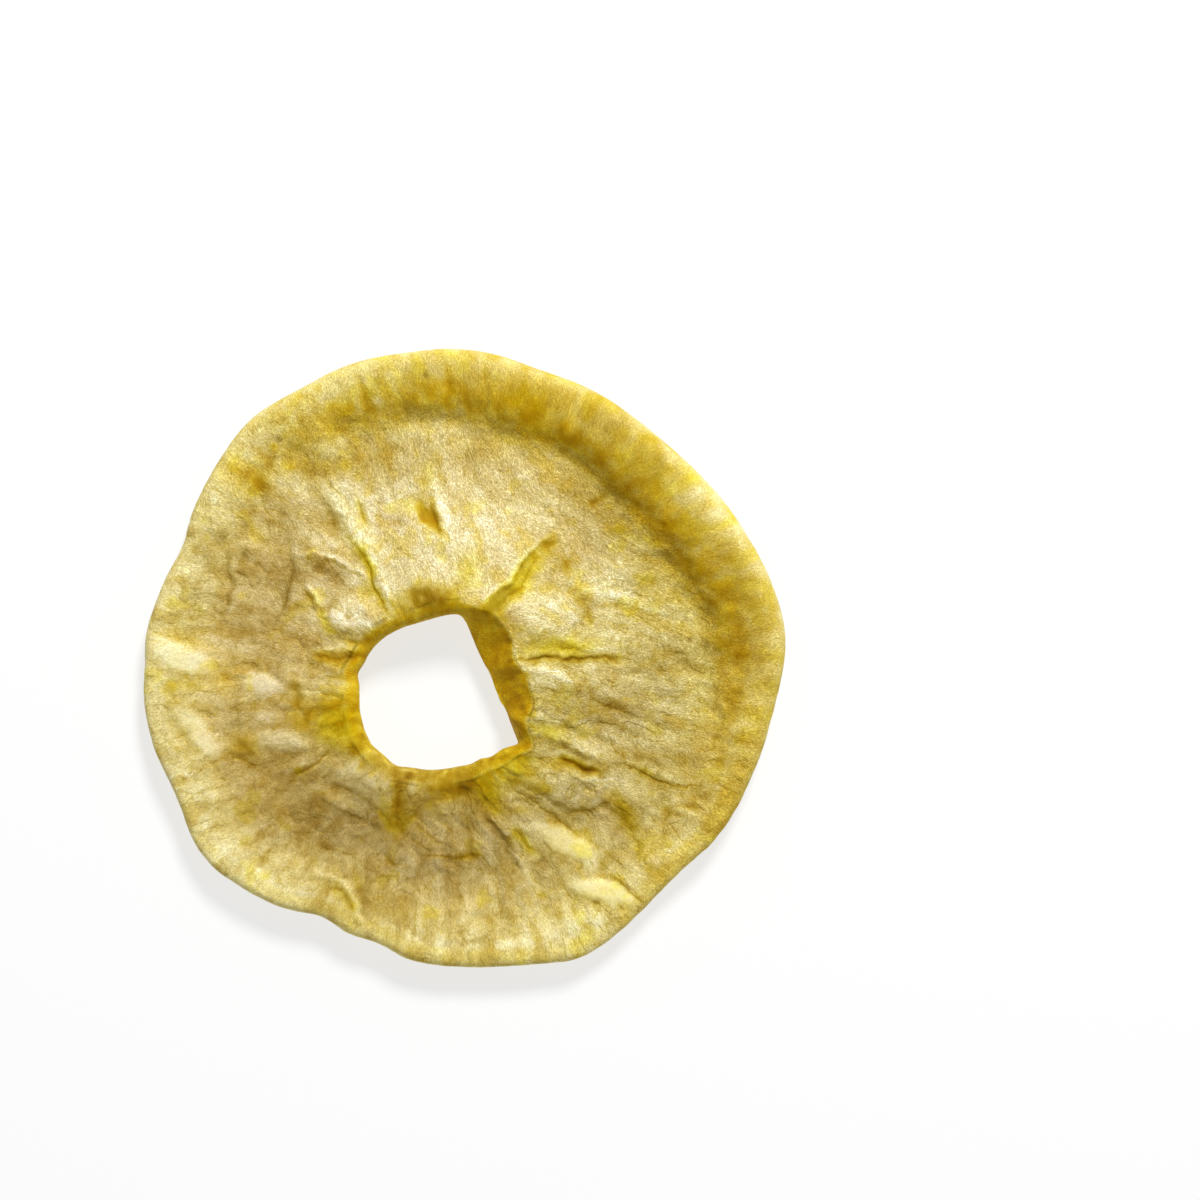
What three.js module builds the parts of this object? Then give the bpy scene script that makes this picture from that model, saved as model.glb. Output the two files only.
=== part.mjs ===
import * as THREE from "three";

// A dried apple ring: one crosswise slice of a peeled, cored apple. Drying has shrunk it, so
// that the flesh stands up round the core hole, dips half-way out and curls up again at the
// rim, most on the far right side. It lies on three low places of its underside.
// Millimetres, +X to the right, +Y away, +Z up. The origin is the middle of the footprint.

// ---- Driving dimensions ----

const RIM_RADIUS = 33.1;
const HOLE_RADIUS = 8.85;
const HOLE_CENTRE = new THREE.Vector2(-2.2, -3.4);
const BODY_THICKNESS = 3.6;
const HOLE_EDGE_THICKNESS = 3.3;
const HOLE_EDGE_ROUNDING = 1.3;

// How steeply the flesh rises towards the hole, and how far out along a section it does so.
const HUB_SLOPE = 15;
const HUB_STEEP_TO = 0.42;
const HUB_LEVEL_FROM = 0.62;

// Every 30 degrees round the ring, from +X towards +Y: how far the rim curls up, in degrees,
// where along the section the curl begins, and how thick the rim is.
const RIM_CURL = [36, 42, 42, 38, 31, 20, 13, 14, 19, 17, 12, 20];
const CURL_START = [0.7, 0.65, 0.69, 0.69, 0.7, 0.67, 0.68, 0.66, 0.6, 0.6, 0.64, 0.68];
const RIM_THICKNESS = [4.3, 4.8, 4.8, 4.3, 3.5, 3.0, 2.6, 2.6, 3.0, 3.0, 2.8, 3.4];

// The curl takes this share of the section to build up. From CREST_FROM on, the rim loses a
// share of it again, so that its crest is nearly level.
const CURL_RUN = 0.22;
const CREST_FROM = 0.86;
const CREST_SHARE = 0.75;

// The rim's edge is a half round, made squarer by a power below 1.
const RIM_ROUNDNESS = 0.75;

// The rim isn't round: each swell or flat is [degrees round, degrees wide, millimetres out].
const RIM_SWELLS = [
  [5, 13, 1.2],
  [50, 22, -1.7],
  [75, 11, -0.8],
  [112, 9, 0.5],
  [132, 11, 1.1],
  [158, 6, -0.7],
  [174, 6, 0.6],
  [191, 13, 1.4],
  [217, 10, 1.7],
  [241, 6, -1.6],
  [252, 7, -1.5],
  [268, 10, -0.3],
  [292, 8, 1.0],
  [314, 9, -0.8],
];

// Nor is the hole: the same three numbers for its edge, where out means a wider hole.
const HOLE_SWELLS = [
  [0, 28, -0.5],
  [20, 8, -0.6],
  [28, 9, -0.8],
  [58, 9, 0.3],
  [108, 28, -1.1],
  [168, 6, 0.4],
  [215, 22, 0.4],
  [237, 7, 0.4],
  [280, 26, -0.7],
  [299, 6, -0.3],
  [329, 8, 1.4],
  [338, 10, -0.6],
  [351, 8, 0.6],
];

// The torn wall of the seed chamber reaches in and down under the right edge of the hole. Its
// own edge is a nearly straight chord across the hole, this far from the hole's centre.
const LIP_CHORD = 5.1;
const LIP_DIRECTION = 24.6;
const LIP_BLEND = 0.5;
const LIP_DROP = 0.9;
const LIP_FULL_REACH = 3.8;
const LIP_HOLLOW_POWER = 2.2;
const LIP_UNDER_SHARE = 0.15;

// The underside is wavy: it bears on three places and lifts by this much between them.
const BEARING_PLACES = 3;
const BEARING_ANGLE = 20;
const BEARING_LIFT = 0.7;
const BEARING_FLAT = 0.3;

// Folds of the top face: the points each one runs through, its half-width and its depth.
// A negative depth is a ridge.
const FOLDS = [
  { path: [[-3.5, 16.6], [-2.3, 13.0]], width: 1.1, depth: 1.3 },
  { path: [[-16.5, 19.5], [-12.4, 12.5], [-7.3, 4.4]], width: 1.4, depth: 1.2 },
  { path: [[-13.5, 19.5], [-10.2, 13.2], [-6.2, 6.5]], width: 1.6, depth: -0.9 },
  { path: [[3.0, 5.0], [5.6, 8.8], [9.3, 12.2]], width: 1.3, depth: 1.3 },
  { path: [[5.2, 0.1], [11.0, 0.6], [17.5, 0.2]], width: 1.2, depth: 1.1 },
  { path: [[-16.0, 0.6], [-9.8, 0.5]], width: 1.1, depth: 0.8 },
  { path: [[-18.5, -12.1], [-13.2, -9.7]], width: 1.1, depth: 0.7 },
  { path: [[-7.0, -12.0], [-7.3, -18.2]], width: 1.2, depth: 0.9 },
  { path: [[0.4, -12.6], [3.8, -15.6]], width: 1.1, depth: 0.8 },
  { path: [[10.0, -10.6], [14.0, -12.2], [22.5, -13.2]], width: 1.1, depth: 0.9 },
  { path: [[15.9, -14.8], [18.6, -19.8]], width: 1.4, depth: 0.7 },
  { path: [[5.0, -17.2], [8.2, -20.8]], width: 1.1, depth: 0.7 },
  { path: [[8.0, -18.2], [13.8, -20.8]], width: 1.9, depth: -0.9 },
  { path: [[12.8, -24.0], [17.4, -24.9]], width: 1.8, depth: -0.8 },
  { path: [[-15.0, -24.2], [-11.2, -27.0]], width: 1.6, depth: -0.6 },
  { path: [[5.8, 3.2], [11.5, 3.6]], width: 2.6, depth: -0.7 },
  { path: [[-13.0, 3.6], [-10.5, 3.4]], width: 2.2, depth: -0.6 },
];
const FOLD_TAPER = 0.3;

// How finely the skin is divided.
const SECTIONS = 160;
const TOP_STEPS = 13;
const RIM_STEPS = 4;
const UNDER_STEPS = 10;
const WALL_STEPS = 4;
const CENTRELINE_STEPS = 80;

// ---- Curves round the ring ----

const radians = THREE.MathUtils.degToRad;

// A smooth closed curve through values evenly spaced round the ring (Catmull-Rom).
function roundTable(values, angle) {
  const count = values.length;
  const place = (((angle / (2 * Math.PI)) % 1) + 1) * count;
  const base = Math.floor(place);
  const t = place - base;
  const value = (offset) => values[(base + offset + count) % count];
  const slopeIn = (value(1) - value(-1)) / 2;
  const slopeOut = (value(2) - value(0)) / 2;
  const rise = value(1) - value(0);
  const cubic = slopeIn + slopeOut - 2 * rise;
  return value(0) + t * (slopeIn + t * (rise - slopeIn - cubic + t * cubic));
}

// The difference between two directions, from -180 to 180 degrees.
function turnBetween(angle, degrees) {
  const turn = THREE.MathUtils.radToDeg(angle) - degrees;
  return THREE.MathUtils.euclideanModulo(turn + 180, 360) - 180;
}

// A mean radius with bell-shaped swells and flats added to it.
function swollenRadius(radius, swells, angle) {
  return swells.reduce((sum, [middle, width, rise]) => {
    const turn = turnBetween(angle, middle) / width;
    return sum + rise * Math.exp(-turn * turn);
  }, radius);
}

// How far the chamber wall reaches in from the hole's edge, out to its chord: nothing where
// the edge already lies inside the chord.
function lipReach(angle, holeRadius) {
  const away = Math.cos(radians(turnBetween(angle, LIP_DIRECTION)));
  if (away <= 0) {
    return 0;
  }
  const past = holeRadius - LIP_CHORD / away;
  return (past + Math.hypot(past, LIP_BLEND)) / 2;
}

// ---- Folds of the top face ----

// The height that one fold adds at a point: a groove or ridge of bell-shaped section along
// its path, which fades out towards both ends.
function foldHeight(fold, x, y) {
  const legs = fold.path.length - 1;
  let nearest = Infinity;
  let along = 0;
  for (let leg = 0; leg < legs; leg += 1) {
    const [startX, startY] = fold.path[leg];
    const [endX, endY] = fold.path[leg + 1];
    const runX = endX - startX;
    const runY = endY - startY;
    const share = ((x - startX) * runX + (y - startY) * runY) / (runX * runX + runY * runY);
    const t = THREE.MathUtils.clamp(share, 0, 1);
    const distance = Math.hypot(x - startX - t * runX, y - startY - t * runY);
    if (distance < nearest) {
      nearest = distance;
      along = (leg + t) / legs;
    }
  }
  const bell = Math.exp(-((nearest / fold.width) ** 2));
  const taper = THREE.MathUtils.smoothstep(Math.min(along, 1 - along), -0.1, FOLD_TAPER);
  return -fold.depth * bell * taper;
}

function topRelief(x, y) {
  return FOLDS.reduce((sum, fold) => sum + foldHeight(fold, x, y), 0);
}

// ---- One section, from the hole out to the rim ----

// The middle line of a section of unit length. Its slope falls away from the hub, is level
// half-way out, turns up into the rim's curl and levels again along the crest.
function middleLine(curl, curlStart) {
  const points = [{ x: 0, z: 0, slope: -radians(HUB_SLOPE) }];
  for (let step = 1; step <= CENTRELINE_STEPS; step += 1) {
    const s = step / CENTRELINE_STEPS;
    const hub = 1 - THREE.MathUtils.smoothstep(s, HUB_STEEP_TO, HUB_LEVEL_FROM);
    const rise = THREE.MathUtils.smoothstep(s, curlStart, curlStart + CURL_RUN);
    const crest = CREST_SHARE * THREE.MathUtils.smoothstep(s, CREST_FROM, 1);
    const slope = -radians(HUB_SLOPE) * hub + radians(curl) * (rise - crest);
    const last = points[step - 1];
    const middleSlope = (slope + last.slope) / 2;
    points.push({
      x: last.x + Math.cos(middleSlope) / CENTRELINE_STEPS,
      z: last.z + Math.sin(middleSlope) / CENTRELINE_STEPS,
      slope,
    });
  }
  return points;
}

// A point of the middle line at share s, scaled to its real length.
function onMiddleLine(line, s, start, length) {
  const place = s * CENTRELINE_STEPS;
  const index = Math.min(Math.floor(place), CENTRELINE_STEPS - 1);
  const share = place - index;
  const mix = (key) => THREE.MathUtils.lerp(line[index][key], line[index + 1][key], share);
  return { x: start + mix("x") * length, z: mix("z") * length, slope: mix("slope") };
}

// Thickness along a section: hole edge, then body, then rim.
function thicknessAt(s, rimThickness) {
  const inner = THREE.MathUtils.smoothstep(s, 0, 0.35);
  const outer = THREE.MathUtils.smoothstep(s, 0.6, 0.95);
  const body = THREE.MathUtils.lerp(HOLE_EDGE_THICKNESS, BODY_THICKNESS, inner);
  return THREE.MathUtils.lerp(body, rimThickness, outer);
}

// A point off the middle line: along is measured with its slope, off square to it.
function offset(point, along, off) {
  return {
    x: point.x + along * Math.cos(point.slope) - off * Math.sin(point.slope),
    z: point.z + along * Math.sin(point.slope) + off * Math.cos(point.slope),
  };
}

// The closed outline of the section at one direction, as points in space: out over the top,
// round the rim, back along the underside and up the wall of the hole.
function sectionAt(angle) {
  const outward = new THREE.Vector2(Math.cos(angle), Math.sin(angle));
  const holeRadius = swollenRadius(HOLE_RADIUS, HOLE_SWELLS, angle);
  const hole = HOLE_CENTRE.clone().addScaledVector(outward, holeRadius);
  const rim = outward.clone().multiplyScalar(swollenRadius(RIM_RADIUS, RIM_SWELLS, angle));
  const width = rim.distanceTo(hole);
  const run = rim.clone().sub(hole).divideScalar(width);

  const reach = lipReach(angle, holeRadius);
  const share = Math.min(1, reach / LIP_FULL_REACH);
  const rimThickness = roundTable(RIM_THICKNESS, angle);
  const line = middleLine(roundTable(RIM_CURL, angle), roundTable(CURL_START, angle));
  const drop = LIP_DROP * share;
  const rounding = HOLE_EDGE_ROUNDING * (1 - 0.7 * share);
  const length = (width - rounding - rimThickness / 2) / line[CENTRELINE_STEPS].x;
  const at = (s) => onMiddleLine(line, s, rounding, length);
  const inSpace = (point) => ({
    x: hole.x + run.x * point.x,
    y: hole.y + run.y * point.x,
    z: point.z,
  });

  const loop = [];
  for (let step = 0; step <= TOP_STEPS; step += 1) {
    const s = step / TOP_STEPS;
    const half = thicknessAt(s, rimThickness) / 2;
    const flat = inSpace(offset(at(s), 0, half));
    const keep = 1 - THREE.MathUtils.smoothstep(s, 0.85, 1);
    loop.push(inSpace(offset(at(s), 0, half + keep * topRelief(flat.x, flat.y))));
  }
  for (let step = 1; step < RIM_STEPS; step += 1) {
    const turn = Math.PI * (0.5 - step / RIM_STEPS);
    const half = rimThickness / 2;
    const out = half * Math.cos(turn) ** RIM_ROUNDNESS;
    const up = half * Math.sign(turn) * Math.abs(Math.sin(turn)) ** RIM_ROUNDNESS;
    loop.push(inSpace(offset(at(1), out, up)));
  }
  for (let step = 0; step <= UNDER_STEPS; step += 1) {
    const s = 1 - step / UNDER_STEPS;
    const half = thicknessAt(s, rimThickness) / 2;
    const pull = 1 - THREE.MathUtils.smoothstep(s, 0, LIP_UNDER_SHARE);
    const point = offset(at(s), 0, -half);
    loop.push(inSpace({ x: point.x - reach * pull, z: point.z - drop * pull }));
  }
  const edge = topRelief(hole.x, hole.y);
  for (let step = 1; step < WALL_STEPS; step += 1) {
    const turn = Math.PI * (1 - step / WALL_STEPS);
    const down = (1 - Math.cos(turn)) / 2;
    const pull = down ** LIP_HOLLOW_POWER;
    const half = HOLE_EDGE_THICKNESS / 2;
    const off = half * Math.cos(turn) + (1 - down) * edge;
    const point = offset(at(0), -rounding * Math.sin(turn), off);
    loop.push(inSpace({ x: point.x - reach * pull, z: point.z - drop * pull }));
  }

  const turns = Math.cos(BEARING_PLACES * (angle - radians(BEARING_ANGLE)));
  const lift = (BEARING_LIFT * (1 - turns)) / 2 - BEARING_FLAT;
  const lowest = Math.min(...loop.map((point) => point.z));
  return loop.map((point) => ({ ...point, z: Math.max(0, point.z - lowest + lift) }));
}

// ---- The whole ring ----

// The sections joined into one closed skin, centred over its footprint.
function ringGeometry() {
  const positions = [];
  const triangles = [];
  const around = TOP_STEPS + RIM_STEPS + UNDER_STEPS + WALL_STEPS;
  for (let section = 0; section < SECTIONS; section += 1) {
    const loop = sectionAt((2 * Math.PI * section) / SECTIONS);
    loop.forEach((point) => positions.push(point.x, point.y, point.z));
    const next = (section + 1) % SECTIONS;
    for (let point = 0; point < around; point += 1) {
      const after = (point + 1) % around;
      const a = section * around + point;
      const b = section * around + after;
      const c = next * around + point;
      const d = next * around + after;
      triangles.push(a, b, c, b, d, c);
    }
  }
  const geometry = new THREE.BufferGeometry();
  geometry.setAttribute("position", new THREE.Float32BufferAttribute(positions, 3));
  geometry.setIndex(triangles);
  geometry.computeBoundingBox();
  const middle = geometry.boundingBox.getCenter(new THREE.Vector3());
  geometry.translate(-middle.x, -middle.y, -geometry.boundingBox.min.z);
  geometry.computeVertexNormals();
  return geometry;
}

const flesh = new THREE.MeshStandardMaterial({ color: 0xd6c183, roughness: 0.72, metalness: 0 });

const ring = new THREE.Mesh(ringGeometry(), flesh);
ring.name = "apple_ring";

const slice = new THREE.Group();
slice.add(ring);

export default slice;
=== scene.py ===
"""A dried apple ring on a pale table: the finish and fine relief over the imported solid.

The ring's skin is one closed grid of points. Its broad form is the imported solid's own: sections
from the core hole out to the rim, carried round the ring. Folds, mounds and grain are then
raised from it along its normals, and the same folds say where the flesh is amber or pale.
Lengths in this file are millimetres until a mesh, lamp or camera is made, in metres, and
directions are degrees from +X towards +Y.
"""

import logging
import math
from dataclasses import dataclass, field
from enum import Enum
from typing import Any, Sequence

import bpy
import numpy as np
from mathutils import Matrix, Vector


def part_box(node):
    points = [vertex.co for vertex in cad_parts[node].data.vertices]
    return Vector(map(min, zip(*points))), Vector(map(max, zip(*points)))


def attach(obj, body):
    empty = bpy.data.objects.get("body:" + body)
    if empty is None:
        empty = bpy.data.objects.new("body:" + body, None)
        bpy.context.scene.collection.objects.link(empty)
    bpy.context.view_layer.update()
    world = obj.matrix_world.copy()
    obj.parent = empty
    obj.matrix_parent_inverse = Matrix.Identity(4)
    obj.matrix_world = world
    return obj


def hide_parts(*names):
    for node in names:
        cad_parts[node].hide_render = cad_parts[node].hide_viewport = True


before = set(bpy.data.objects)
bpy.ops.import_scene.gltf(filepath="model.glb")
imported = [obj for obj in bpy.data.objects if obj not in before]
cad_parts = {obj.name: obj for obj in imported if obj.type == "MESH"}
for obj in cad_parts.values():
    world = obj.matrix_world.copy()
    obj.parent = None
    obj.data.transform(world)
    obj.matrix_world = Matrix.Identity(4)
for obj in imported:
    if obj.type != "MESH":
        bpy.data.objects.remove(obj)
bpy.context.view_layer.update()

Array = np.ndarray
Point = tuple[float, float]

MM = 0.001
TINY = 1e-9
NODE = "apple_ring"
WHITE = (1.0, 1.0, 1.0, 1.0)
LAMP_TURN = 70.0

log = logging.getLogger("dried_ring")


# ---- Curves ----


def smooth_step(low: float | Array, high: float | Array, values: Array) -> Array:
    """Ease from 0 at low to 1 at high: three times the square less twice the cube.

    Args:
        low: Where the rise begins.
        high: Where it ends.
        values: The places to work it out at.

    Returns:
        The share at each value, from 0 to 1.
    """
    share = np.clip((values - low) / (high - low), 0.0, 1.0)
    return share * share * (3.0 - 2.0 * share)


def turn_between(degrees: Array, middle: float) -> Array:
    """Give the difference of each direction from a middle one, from -180 to 180 degrees."""
    return (degrees - middle + 180.0) % 360.0 - 180.0


def round_table(values: Sequence[float], degrees: Array) -> Array:
    """Run a smooth closed curve through values evenly spaced round the ring.

    It is the Catmull-Rom cubic, whose slope at each value is half the step between its
    neighbours.

    Args:
        values: One value for each equal step round the ring, from direction 0.
        degrees: The directions to work it out at.

    Returns:
        The curve at each direction.
    """
    table = np.asarray(values, float)
    count = len(table)
    place = (degrees / 360.0) % 1.0 * count
    base = np.floor(place).astype(int)
    t = place - base
    before, here, after, beyond = (table[(base + k) % count] for k in (-1, 0, 1, 2))
    slope_in = (after - before) / 2.0
    slope_out = (beyond - here) / 2.0
    rise = after - here
    cubic = slope_in + slope_out - 2.0 * rise
    return here + t * (slope_in + t * (rise - slope_in - cubic + t * cubic))


@dataclass(frozen=True)
class Swell:
    """A bell-shaped bulge of an edge, or a flat where the rise is negative."""

    middle: float
    width: float
    rise: float

    def at(self, degrees: Array) -> Array:
        """Give its rise at each direction: a bell curve of the turn from its middle."""
        return self.rise * np.exp(-((turn_between(degrees, self.middle) / self.width) ** 2))


class GradientNoise:
    """Smooth seeded noise in space: random slopes at whole-number points, eased between."""

    SIZE = 256
    SPREAD = 1.6

    def __init__(self, seed: int) -> None:
        """Draw the order of the lattice and its slopes.

        Args:
            seed: Fixes every draw, so that the noise is the same each time.
        """
        draw = np.random.default_rng(seed)
        self.order = draw.permutation(self.SIZE)
        slopes = draw.normal(size=(self.SIZE, 3))
        self.slopes = slopes / np.linalg.norm(slopes, axis=1, keepdims=True)

    def at(self, points: Array, scale: float) -> Array:
        """Give the noise at points, from about -1 to 1.

        Each of the eight lattice corners round a point adds its slope times the way to the
        point, weighted by the quintic ease 6t^5 - 15t^4 + 10t^3 on each axis.

        Args:
            points: Places, in millimetres, along the last axis.
            scale: The size of a lattice cell, in millimetres.

        Returns:
            One value for each point.
        """
        place = points / scale
        cell = np.floor(place)
        inside = place - cell
        cell = cell.astype(int)
        ease = inside**3 * (inside * (inside * 6.0 - 15.0) + 10.0)
        total = np.zeros(points.shape[:-1])
        for corner in np.ndindex(2, 2, 2):
            mark = np.zeros(points.shape[:-1], int)
            weight = np.ones(points.shape[:-1])
            for axis, side in enumerate(corner):
                mark = self.order[(mark + cell[..., axis] + side) % self.SIZE]
                weight = weight * (ease[..., axis] if side else 1.0 - ease[..., axis])
            total += weight * np.sum(self.slopes[mark] * (inside - corner), axis=-1)
        return self.SPREAD * total


# ---- The broad form ----


@dataclass(frozen=True)
class SkinGrid:
    """Points of the skin, one row for each section and one column for each place along it."""

    points: Array
    along: Array
    top: Array
    wall: Array
    degrees: Array

    def normals(self) -> Array:
        """Give the outward normal at each point: the way out crossed with the way round.

        Returns:
            One unit vector for each point.
        """
        out = np.roll(self.points, -1, axis=1) - np.roll(self.points, 1, axis=1)
        round_ring = np.roll(self.points, -1, axis=0) - np.roll(self.points, 1, axis=0)
        normal = np.cross(out, round_ring)
        return normal / np.maximum(np.linalg.norm(normal, axis=-1, keepdims=True), TINY)


@dataclass(frozen=True)
class RingForm:
    """The dried ring's broad form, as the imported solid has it."""

    rim_radius: float = 33.1
    rim_roundness: float = 0.75
    hole_radius: float = 8.85
    hole_centre: Point = (-2.2, -3.4)
    body_thickness: float = 3.6
    hole_edge_thickness: float = 3.3
    hole_edge_rounding: float = 1.3
    body_thick_from: float = 0.35
    rim_thick_from: float = 0.6
    rim_thick_to: float = 0.95
    hub_slope: float = 15.0
    hub_steep_to: float = 0.42
    hub_level_from: float = 0.62
    rim_curl: tuple[float, ...] = (36, 42, 42, 38, 31, 20, 13, 14, 19, 17, 12, 20)
    curl_start: tuple[float, ...] = (
        0.7, 0.65, 0.69, 0.69, 0.7, 0.67, 0.68, 0.66, 0.6, 0.6, 0.64, 0.68,
    )
    curl_run: float = 0.22
    crest_from: float = 0.86
    crest_share: float = 0.75
    rim_thickness: tuple[float, ...] = (4.3, 4.8, 4.8, 4.3, 3.5, 3.0, 2.6, 2.6, 3.0, 3.0, 2.8, 3.4)
    rim_swells: tuple[Swell, ...] = (
        Swell(5, 13, 1.2),
        Swell(50, 22, -1.7),
        Swell(75, 11, -0.8),
        Swell(112, 9, 0.5),
        Swell(132, 11, 1.1),
        Swell(158, 6, -0.7),
        Swell(174, 6, 0.6),
        Swell(191, 13, 1.4),
        Swell(217, 10, 1.7),
        Swell(241, 6, -1.6),
        Swell(252, 7, -1.5),
        Swell(268, 10, -0.3),
        Swell(292, 8, 1.0),
        Swell(314, 9, -0.8),
    )
    hole_swells: tuple[Swell, ...] = (
        Swell(0, 28, -0.5),
        Swell(20, 8, -0.6),
        Swell(28, 9, -0.8),
        Swell(58, 9, 0.3),
        Swell(108, 28, -1.1),
        Swell(168, 6, 0.4),
        Swell(215, 22, 0.4),
        Swell(237, 7, 0.4),
        Swell(280, 26, -0.7),
        Swell(299, 6, -0.3),
        Swell(329, 8, 1.4),
        Swell(338, 10, -0.6),
        Swell(351, 8, 0.6),
    )
    lip_chord: float = 5.1
    lip_direction: float = 24.6
    lip_blend: float = 0.5
    lip_least_cosine: float = 0.001
    lip_drop: float = 0.9
    lip_full_reach: float = 3.8
    lip_hollow_power: float = 2.2
    lip_under_share: float = 0.15
    lip_sharpens: float = 0.7
    bearing_places: int = 3
    bearing_angle: float = 20.0
    bearing_lift: float = 0.7
    bearing_flat: float = 0.3
    sections: int = 720
    top_steps: int = 102
    cap_steps: int = 10
    under_steps: int = 16
    wall_steps: int = 10
    line_steps: int = 240

    def edge(self, radius: float, swells: Sequence[Swell], degrees: Array) -> Array:
        """Give an edge's radius at each direction: a mean radius and its swells' rises."""
        return radius + sum(swell.at(degrees) for swell in swells)

    def lip_reach(self, degrees: Array, hole: Array) -> Array:
        """Say how far the chamber wall reaches in from the hole's edge, out to its chord.

        The chord lies lip_chord from the hole's centre, so along a direction it is that over
        the cosine of the turn; past it, a hyperbola rounds the corner to nothing.

        Args:
            degrees: The sections' directions.
            hole: The hole's radius along each.

        Returns:
            The reach of each section, in millimetres.
        """
        away = np.cos(np.radians(turn_between(degrees, self.lip_direction)))
        past = hole - self.lip_chord / np.maximum(away, self.lip_least_cosine)
        return np.where(away > 0.0, (past + np.hypot(past, self.lip_blend)) / 2.0, 0.0)

    def thickness(self, s: Array, rim: Array) -> Array:
        """Give the thickness along each section: hole edge, then body, then rim.

        Args:
            s: Places along the sections, from 0 at the hole to 1 at the rim.
            rim: Each section's rim thickness.

        Returns:
            Thickness, a row for each section and a column for each place.
        """
        inner = smooth_step(0.0, self.body_thick_from, s)
        outer = smooth_step(self.rim_thick_from, self.rim_thick_to, s)
        body = self.hole_edge_thickness + (self.body_thickness - self.hole_edge_thickness) * inner
        return body + (rim[:, None] - body) * outer

    def skin(self) -> SkinGrid:
        """Carry the section round the ring.

        The middle line's slope falls away from the hub, is level half-way out, turns up into
        the rim and levels again along its crest; summing the slope's cosine and sine gives
        the line. The top and the underside lie half a thickness off it, a squarish half round
        caps the rim (the cosine and sine of a turn, each raised to a power below 1), and a
        flattened half circle, drawn in along the lip, is the wall of the hole.

        Returns:
            The skin's points, before folds and grain.
        """
        degrees = np.arange(self.sections) * 360.0 / self.sections
        turn = np.radians(degrees)
        outward = np.stack([np.cos(turn), np.sin(turn)], axis=1)
        hole_radius = self.edge(self.hole_radius, self.hole_swells, degrees)
        hole = np.array(self.hole_centre) + outward * hole_radius[:, None]
        rim = outward * self.edge(self.rim_radius, self.rim_swells, degrees)[:, None]
        width = np.linalg.norm(rim - hole, axis=1)
        run = (rim - hole) / width[:, None]

        line = np.linspace(0.0, 1.0, self.line_steps + 1)
        hub = 1.0 - smooth_step(self.hub_steep_to, self.hub_level_from, line)
        start = round_table(self.curl_start, degrees)[:, None]
        curl = np.radians(round_table(self.rim_curl, degrees))[:, None]
        rise = smooth_step(start, start + self.curl_run, line[None, :])
        crest = self.crest_share * smooth_step(self.crest_from, 1.0, line)
        slope = curl * (rise - crest) - math.radians(self.hub_slope) * hub
        between = (slope[:, 1:] + slope[:, :-1]) / 2.0
        zero = np.zeros((self.sections, 1))
        line_x = np.concatenate([zero, np.cumsum(np.cos(between), axis=1)], axis=1)
        line_z = np.concatenate([zero, np.cumsum(np.sin(between), axis=1)], axis=1)

        reach = self.lip_reach(degrees, hole_radius)[:, None]
        share = np.minimum(1.0, reach / self.lip_full_reach)
        drop = self.lip_drop * share
        rounding = self.hole_edge_rounding * (1.0 - self.lip_sharpens * share)
        rim_thickness = round_table(self.rim_thickness, degrees)
        cap = rim_thickness[:, None] / 2.0
        length = (width[:, None] - rounding - cap) / line_x[:, -1:]

        def off_line(s: Array, forward: Array, off: Array) -> tuple[Array, Array]:
            """Give a section's points from places on its line and offsets along and off it."""
            place = s * self.line_steps
            base = np.minimum(place.astype(int), self.line_steps - 1)
            t = place - base
            x, z, tilt = (v[:, base] * (1 - t) + v[:, base + 1] * t for v in (line_x, line_z, slope))
            x = rounding + x * length + forward * np.cos(tilt) - off * np.sin(tilt)
            return x, z * length + forward * np.sin(tilt) + off * np.cos(tilt)

        top_s = np.linspace(0.0, 1.0, self.top_steps + 1)
        cap_turn = np.pi * (0.5 - np.arange(1, self.cap_steps) / self.cap_steps)
        under_s = np.linspace(1.0, 0.0, self.under_steps + 1)
        wall_turn = np.pi * (1.0 - np.arange(1, self.wall_steps) / self.wall_steps)
        cap_s = np.ones_like(cap_turn)
        wall_s = np.zeros_like(wall_turn)

        top = off_line(top_s, 0.0, self.thickness(top_s, rim_thickness) / 2.0)
        cap_out = np.cos(cap_turn) ** self.rim_roundness
        cap_up = np.sign(cap_turn) * np.abs(np.sin(cap_turn)) ** self.rim_roundness
        rim_cap = off_line(cap_s, cap * cap_out, cap * cap_up)
        under = off_line(under_s, 0.0, -self.thickness(under_s, rim_thickness) / 2.0)
        under_pull = 1.0 - smooth_step(0.0, self.lip_under_share, under_s)
        half = self.hole_edge_thickness / 2.0
        wall = off_line(wall_s, -rounding * np.sin(wall_turn), half * np.cos(wall_turn))
        wall_down = (1.0 - np.cos(wall_turn)) / 2.0
        wall_pull = wall_down**self.lip_hollow_power
        x = np.concatenate(
            [top[0], rim_cap[0], under[0] - reach * under_pull, wall[0] - reach * wall_pull], axis=1
        )
        z = np.concatenate(
            [top[1], rim_cap[1], under[1] - drop * under_pull, wall[1] - drop * wall_pull], axis=1
        )
        waves = np.cos(self.bearing_places * (turn - math.radians(self.bearing_angle)))
        lift = self.bearing_lift * (1.0 - waves) / 2.0 - self.bearing_flat
        z = np.maximum(0.0, z - z.min(axis=1, keepdims=True) + lift[:, None])

        plan = hole[:, None, :] + run[:, None, :] * x[:, :, None]
        return SkinGrid(
            points=np.concatenate([plan, z[:, :, None]], axis=2),
            along=np.concatenate([top_s, cap_s, under_s, wall_s]),
            top=np.concatenate(
                [np.ones_like(top_s), (1.0 + np.sin(cap_turn)) / 2.0, 0.0 * under_s, 1.0 - wall_down]
            ),
            wall=np.concatenate([0.0 * top_s, 0.0 * cap_s, 0.0 * under_s, np.ones_like(wall_s)]),
            degrees=degrees,
        )


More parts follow.
